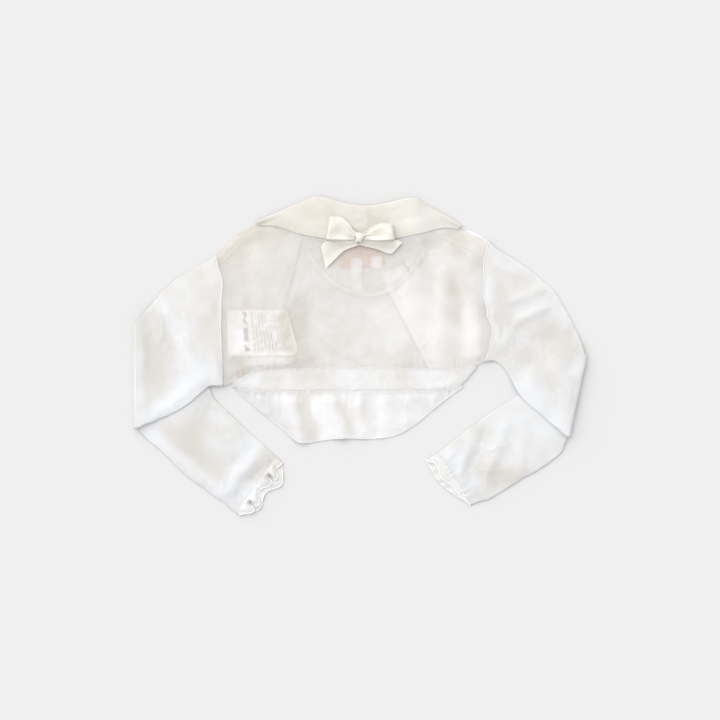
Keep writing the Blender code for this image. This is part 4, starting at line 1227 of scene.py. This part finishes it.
def make_tail(side, lines, loop_base, curl, cut_share):
    """A ribbon end that lies on the collar and the back, with its slanted cut end lifted a little. Its upper
    edge lies under the loop, and its inner end under the knot."""
    top = solid_height(f"bow_tail_{side}", 1.5)
    outward = away_from_knot(lines)

    def place(u, v):
        x, y = on_panel(lines, u, v)
        base = top(*on_panel(lines, mix(0.06, 0.94, u), mix(0.12, 0.88, v)))
        base = (TAIL_HEIGHT if base is None else base) - CAD_WALL / 2
        crease = 0.5 * cos(2 * pi * 1.5 * v) * (1 - u) ** 1.5 + 0.35 * sin(2 * pi * (v + 0.4 * u))
        lying = base + crease * 0.8 + curl * u * u * (0.4 + 0.6 * v)
        tucked = loop_base + LOOP_HEIGHT / 2 - loop_half(u) - 0.55
        under_loop = eased((v - 0.62) / 0.38) * (1 - eased((u - 0.86) / 0.14))
        under_knot = 1 - eased(u / 0.18)
        x -= outward * TAIL_END_TUCK * under_knot
        y += TAIL_TUCK * (under_loop * (1 - 0.4 * u) + 0.4 * under_knot)
        return x, y, mix(mix(lying, tucked, under_loop), TAIL_END_HEIGHT, under_knot)

    cut = Cut(34, 21, cut_share, "laid")
    ribbon(f"bow_tail_{side}", 40, 24, cut, place, on=["collar_cloth", "back_panel_knit"])


def make_knot(middle_z):
    """The ribbon wrapped round the middle of the bow, creased where it is pulled tight."""

    def place(u, v):
        turn, width = 2 * pi * u, 2 * v - 1
        full_out = 1 + 0.05 * cos(2 * pi * 1.6 * v + 1.3 * cos(turn) + 0.8)
        full_out += 0.10 * wander(3 * v, 2 * cos(turn), 1.4, 5)
        full_out *= 1 - 0.42 * abs(width) ** 3
        lean = 0.9 * sin(turn) + 0.5 * cos(turn)
        x = KNOT_CENTRE.x + KNOT_HALF_X * width * (1 + 0.16 * cos(turn)) + lean
        y = KNOT_CENTRE.y - 0.8 + KNOT_HALF_Y * full_out * cos(turn)
        return x, y, middle_z + KNOT_HALF_Z * full_out * sin(turn)

    loops = ["bow_loop_left_satin", "bow_loop_right_satin"]
    ribbon("bow_knot", 48, 26, Cut(24, 10, 0.75, "folded"), place, closed=True, on=loops)


def make_bow():
    """The bow: its loops, then the tails under them, and the knot."""
    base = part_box("bow_loop_left")[0].z / MM + CAD_WALL / 2
    make_loop("left", BOW_LOOP_LEFT, base, pleat=0.9)
    make_loop("right", BOW_LOOP_RIGHT, base, pleat=0.8)
    make_tail("left", BOW_TAIL_LEFT, base, curl=1.0, cut_share=0.65)
    make_tail("right", BOW_TAIL_RIGHT, base, curl=1.4, cut_share=0.5)
    low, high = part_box("bow_knot")
    make_knot((low.z + high.z) / 2 / MM)


# --- Seams and stitches ---


def make_seams(back, fronts, hem, collar, tape, casing):
    """The seams, bound edges and rows of stitches, each on its own sheet."""

    def seam(sheet, name, path, radius, material=SEAM_KNIT, slot="knit_back", wrap=1.6):
        trimmed(sheet, bead(name, path, radius, material, wrap))

    def row(sheet, name, lines, thread, slot, pitch=2.4, length=1.7, radius=0.22, count=120):
        surface = height_over(sheet.data)
        laid = (laid_on(surface, line, STITCH_LIFT, count) for line in lines)
        paths = [path for path in laid if len(path) > 2]
        trimmed(sheet, stitches(name, paths, pitch, length, radius, thread))

    on_back = height_over(back.data)
    for side, armhole in ARMHOLES.items():
        rises = [mix(armhole.low_y + 0.3, armhole.high_y - 0.3, k / 150) for k in range(151)]
        bowing = [(plain_x(armhole, y) + bulge_at(armhole, y), y) for y in rises]
        path = [Vector((x, y, set_in(armhole, y) + SEAM_LIFT)) for x, y in bowing]
        seam(back, f"armhole_seam_{side}", path, 0.6, wrap=2.2)
    for side, line in (("left", SHOULDER_LEFT), ("right", SHOULDER_RIGHT)):
        seam(back, f"shoulder_seam_{side}", laid_on(on_back, line, SEAM_LIFT, 80), 0.26)
    joins = (("waist_seam", WAIST_SEAM, -121.5, 109), ("hem_seam", HEM_SEAM, -118, 104))
    for name, line, low_x, high_x in joins:
        places = [mix(low_x, high_x, k / 260) for k in range(261)]
        top = WAIST_EDGE + SEAM_LIFT
        path = [Vector((x, seam_y(line, x), top + 0.12 * wander(x, 0, 4, 77))) for x in places]
        seam(casing, name, path, 0.3, slot="knit_casing")

    waist = [Point(x, seam_y(WAIST_SEAM, x) + 0.9) for x in range(-118, 110, 6)]
    row(back, "waist_stitches", [waist], WHITE_THREAD, "knit_back")
    gathering = [Point(x, seam_y(HEM_SEAM, x) - 1.6) for x in range(-110, 92, 6)]
    row(hem, "hem_gather_stitches", [gathering], WHITE_THREAD, "knit_hem")
    free_edge = [Point(*on_panel(HEM, k / 24, 0.045, hanging)) for k in range(25)]
    row(hem, "hem_edge_stitches", [free_edge], WHITE_THREAD, "knit_hem", 2.2, 1.6, count=200)
    rim = [on_panel(HEM, k / 60, 0.0, hanging) for k in range(61)]
    rolled = laid_on(height_over(hem.data), [Point(x, y + 0.35) for x, y in rim], SEAM_LIFT, 240)
    seam(hem, "hem_rolled_edge", rolled, 0.4, slot="knit_hem")

    sides = (("left", fronts[0], FRONT_LEFT, 1, -1), ("right", fronts[1], FRONT_RIGHT, 0, 1))
    for side, front, table, opening, inward in sides:
        edge = [Point(*on_panel(table, opening, k / 12, rising)) for k in range(13)]
        insets = (1.2, FRONT_BAND - 1.4, FRONT_BAND)
        lines = [[Point(p.x + inward * inset, p.y) for p in edge] for inset in insets]
        row(front, f"front_{side}_band_stitches", lines, CREAM_THREAD, "knit_front", radius=0.26)
        bound = laid_on(height_over(front.data), edge, SEAM_LIFT, 160)
        # A dark grey bound edge: painted shadow along the front's edge, under the back.
        seam(front, f"front_{side}_edge", bound, 0.5, GREY_THREAD_AND_PAINTED_SHADOW, "knit_front")
    # The tape's stitches are dark grey: real stitching, and painted shade along the tape's edges.
    lines = [beside(NECK_TAPE, offset) for offset in (-2.2, 2.2)]
    row(tape, "neck_tape_stitches", lines, GREY_THREAD_AND_PAINTED_SHADOW, "neck_tape", 2.2, 2.1, 0.46, 160)
    topstitch = [Point(mix(s.edge_x, s.fold_x, 0.06), mix(s.edge_y, s.fold_y, 0.06)) for s in COLLAR[1:-1]]
    row(collar, "collar_topstitch", [topstitch], CREAM_THREAD, "collar_knit", 2.3, 1.6, 0.26)
    loose_end = laid_on(on_back, THREAD_END, 0.3, 24)
    seam(back, "loose_thread_end", loose_end, 0.17, GREY_THREAD_AND_PAINTED_SHADOW, wrap=0.0)


# --- Stage ---

# How wide a field the camera sees at the garment, and where the middle of that lies in the tables
FIELD_WIDTH = 684.0
FIELD_CENTRE = Point(-0.95, 0.0)
# The length of the camera's lens and the width of its sensor
LENS = 100.0
SENSOR = 36.0
# How far the floor lies below the garment, how pale it is, and how strong the light from all round is
FLOOR_DROP = 0.2
FLOOR_GREY = 0.64
STUDIO_LIGHT = 0.915


def soft_sun(name, azimuth, elevation, strength, softness, colour):
    """Broad, even light from one side. The azimuth is clockwise from the collar's side."""
    data = bpy.data.lights.new(name, "SUN")
    data.energy, data.angle, data.color = strength, radians(softness), colour
    a, e = radians(azimuth), radians(elevation)
    toward = Vector((sin(a) * cos(e), cos(a) * cos(e), sin(e)))
    lamp = added(name, data)
    lamp.location = toward
    lamp.rotation_euler = (-toward).to_track_quat("-Z", "Y").to_euler()


def set_stage():
    """A pale floor, soft light from all round and from one side, and the camera straight above."""
    bm = bmesh.new()
    bmesh.ops.create_grid(bm, x_segments=1, y_segments=1, size=2.0)
    bmesh.ops.translate(bm, vec=(0, 0, -FLOOR_DROP * MM), verts=bm.verts)
    mesh = bpy.data.meshes.new("floor")
    bm.to_mesh(mesh)
    bm.free()
    paint = Shader("pale_floor", 0.95, Specular_IOR_Level=0.1, Base_Color=(FLOOR_GREY,) * 3 + (1.0,))
    mesh.materials.append(paint.material)
    added("floor", mesh)

    world = bpy.data.worlds.new("studio")
    world.use_nodes = True
    background = world.node_tree.nodes["Background"].inputs
    background["Color"].default_value = (1.0, 1.0, 1.0, 1.0)
    background["Strength"].default_value = STUDIO_LIGHT
    bpy.context.scene.world = world
    soft_sun("window", azimuth=-36, elevation=38, strength=2.3, softness=80, colour=(1.0, 0.995, 0.99))

    data = bpy.data.cameras.new("overhead")
    data.sensor_width, data.lens = SENSOR, LENS
    camera = added("overhead", data)
    height = FIELD_WIDTH * MM * LENS / SENSOR
    camera.location = placed(FIELD_CENTRE.x, FIELD_CENTRE.y, 0.0) + Vector((0, 0, height))
    bpy.context.scene.camera = camera
    bpy.context.scene.view_settings.view_transform = "Standard"


# --- The garment ---

fronts = make_fronts()
make_labels()
neck_tape = make_neck_tape()
back = make_back()
casing = make_casing()
hem = make_hem_band()
make_sleeve("left", SLEEVE_LEFT_UPPER, SLEEVE_LEFT_LOWER, SLEEVE_LEFT_FOLDS, FOREARM_LEFT_FOLDS, seed=41)
make_sleeve("right", SLEEVE_RIGHT_UPPER, SLEEVE_RIGHT_LOWER, SLEEVE_RIGHT_FOLDS, FOREARM_RIGHT_FOLDS, seed=53)
make_frill(
    "left", SLEEVE_LEFT_LOWER, FRILL_LEFT, waves=4.2, swing=2.05, lobes=2, reach=0.5, stand=2.6,
    rounding=0.24, seed=41,
)
make_frill(
    "right", SLEEVE_RIGHT_LOWER, FRILL_RIGHT, waves=2.4, swing=0.4, lobes=1, reach=0.6, stand=0.6,
    rounding=0.0, seed=53,
)
collar = make_collar(back)
make_bow()
make_seams(back, fronts, hem, collar, neck_tape, casing)
set_stage()
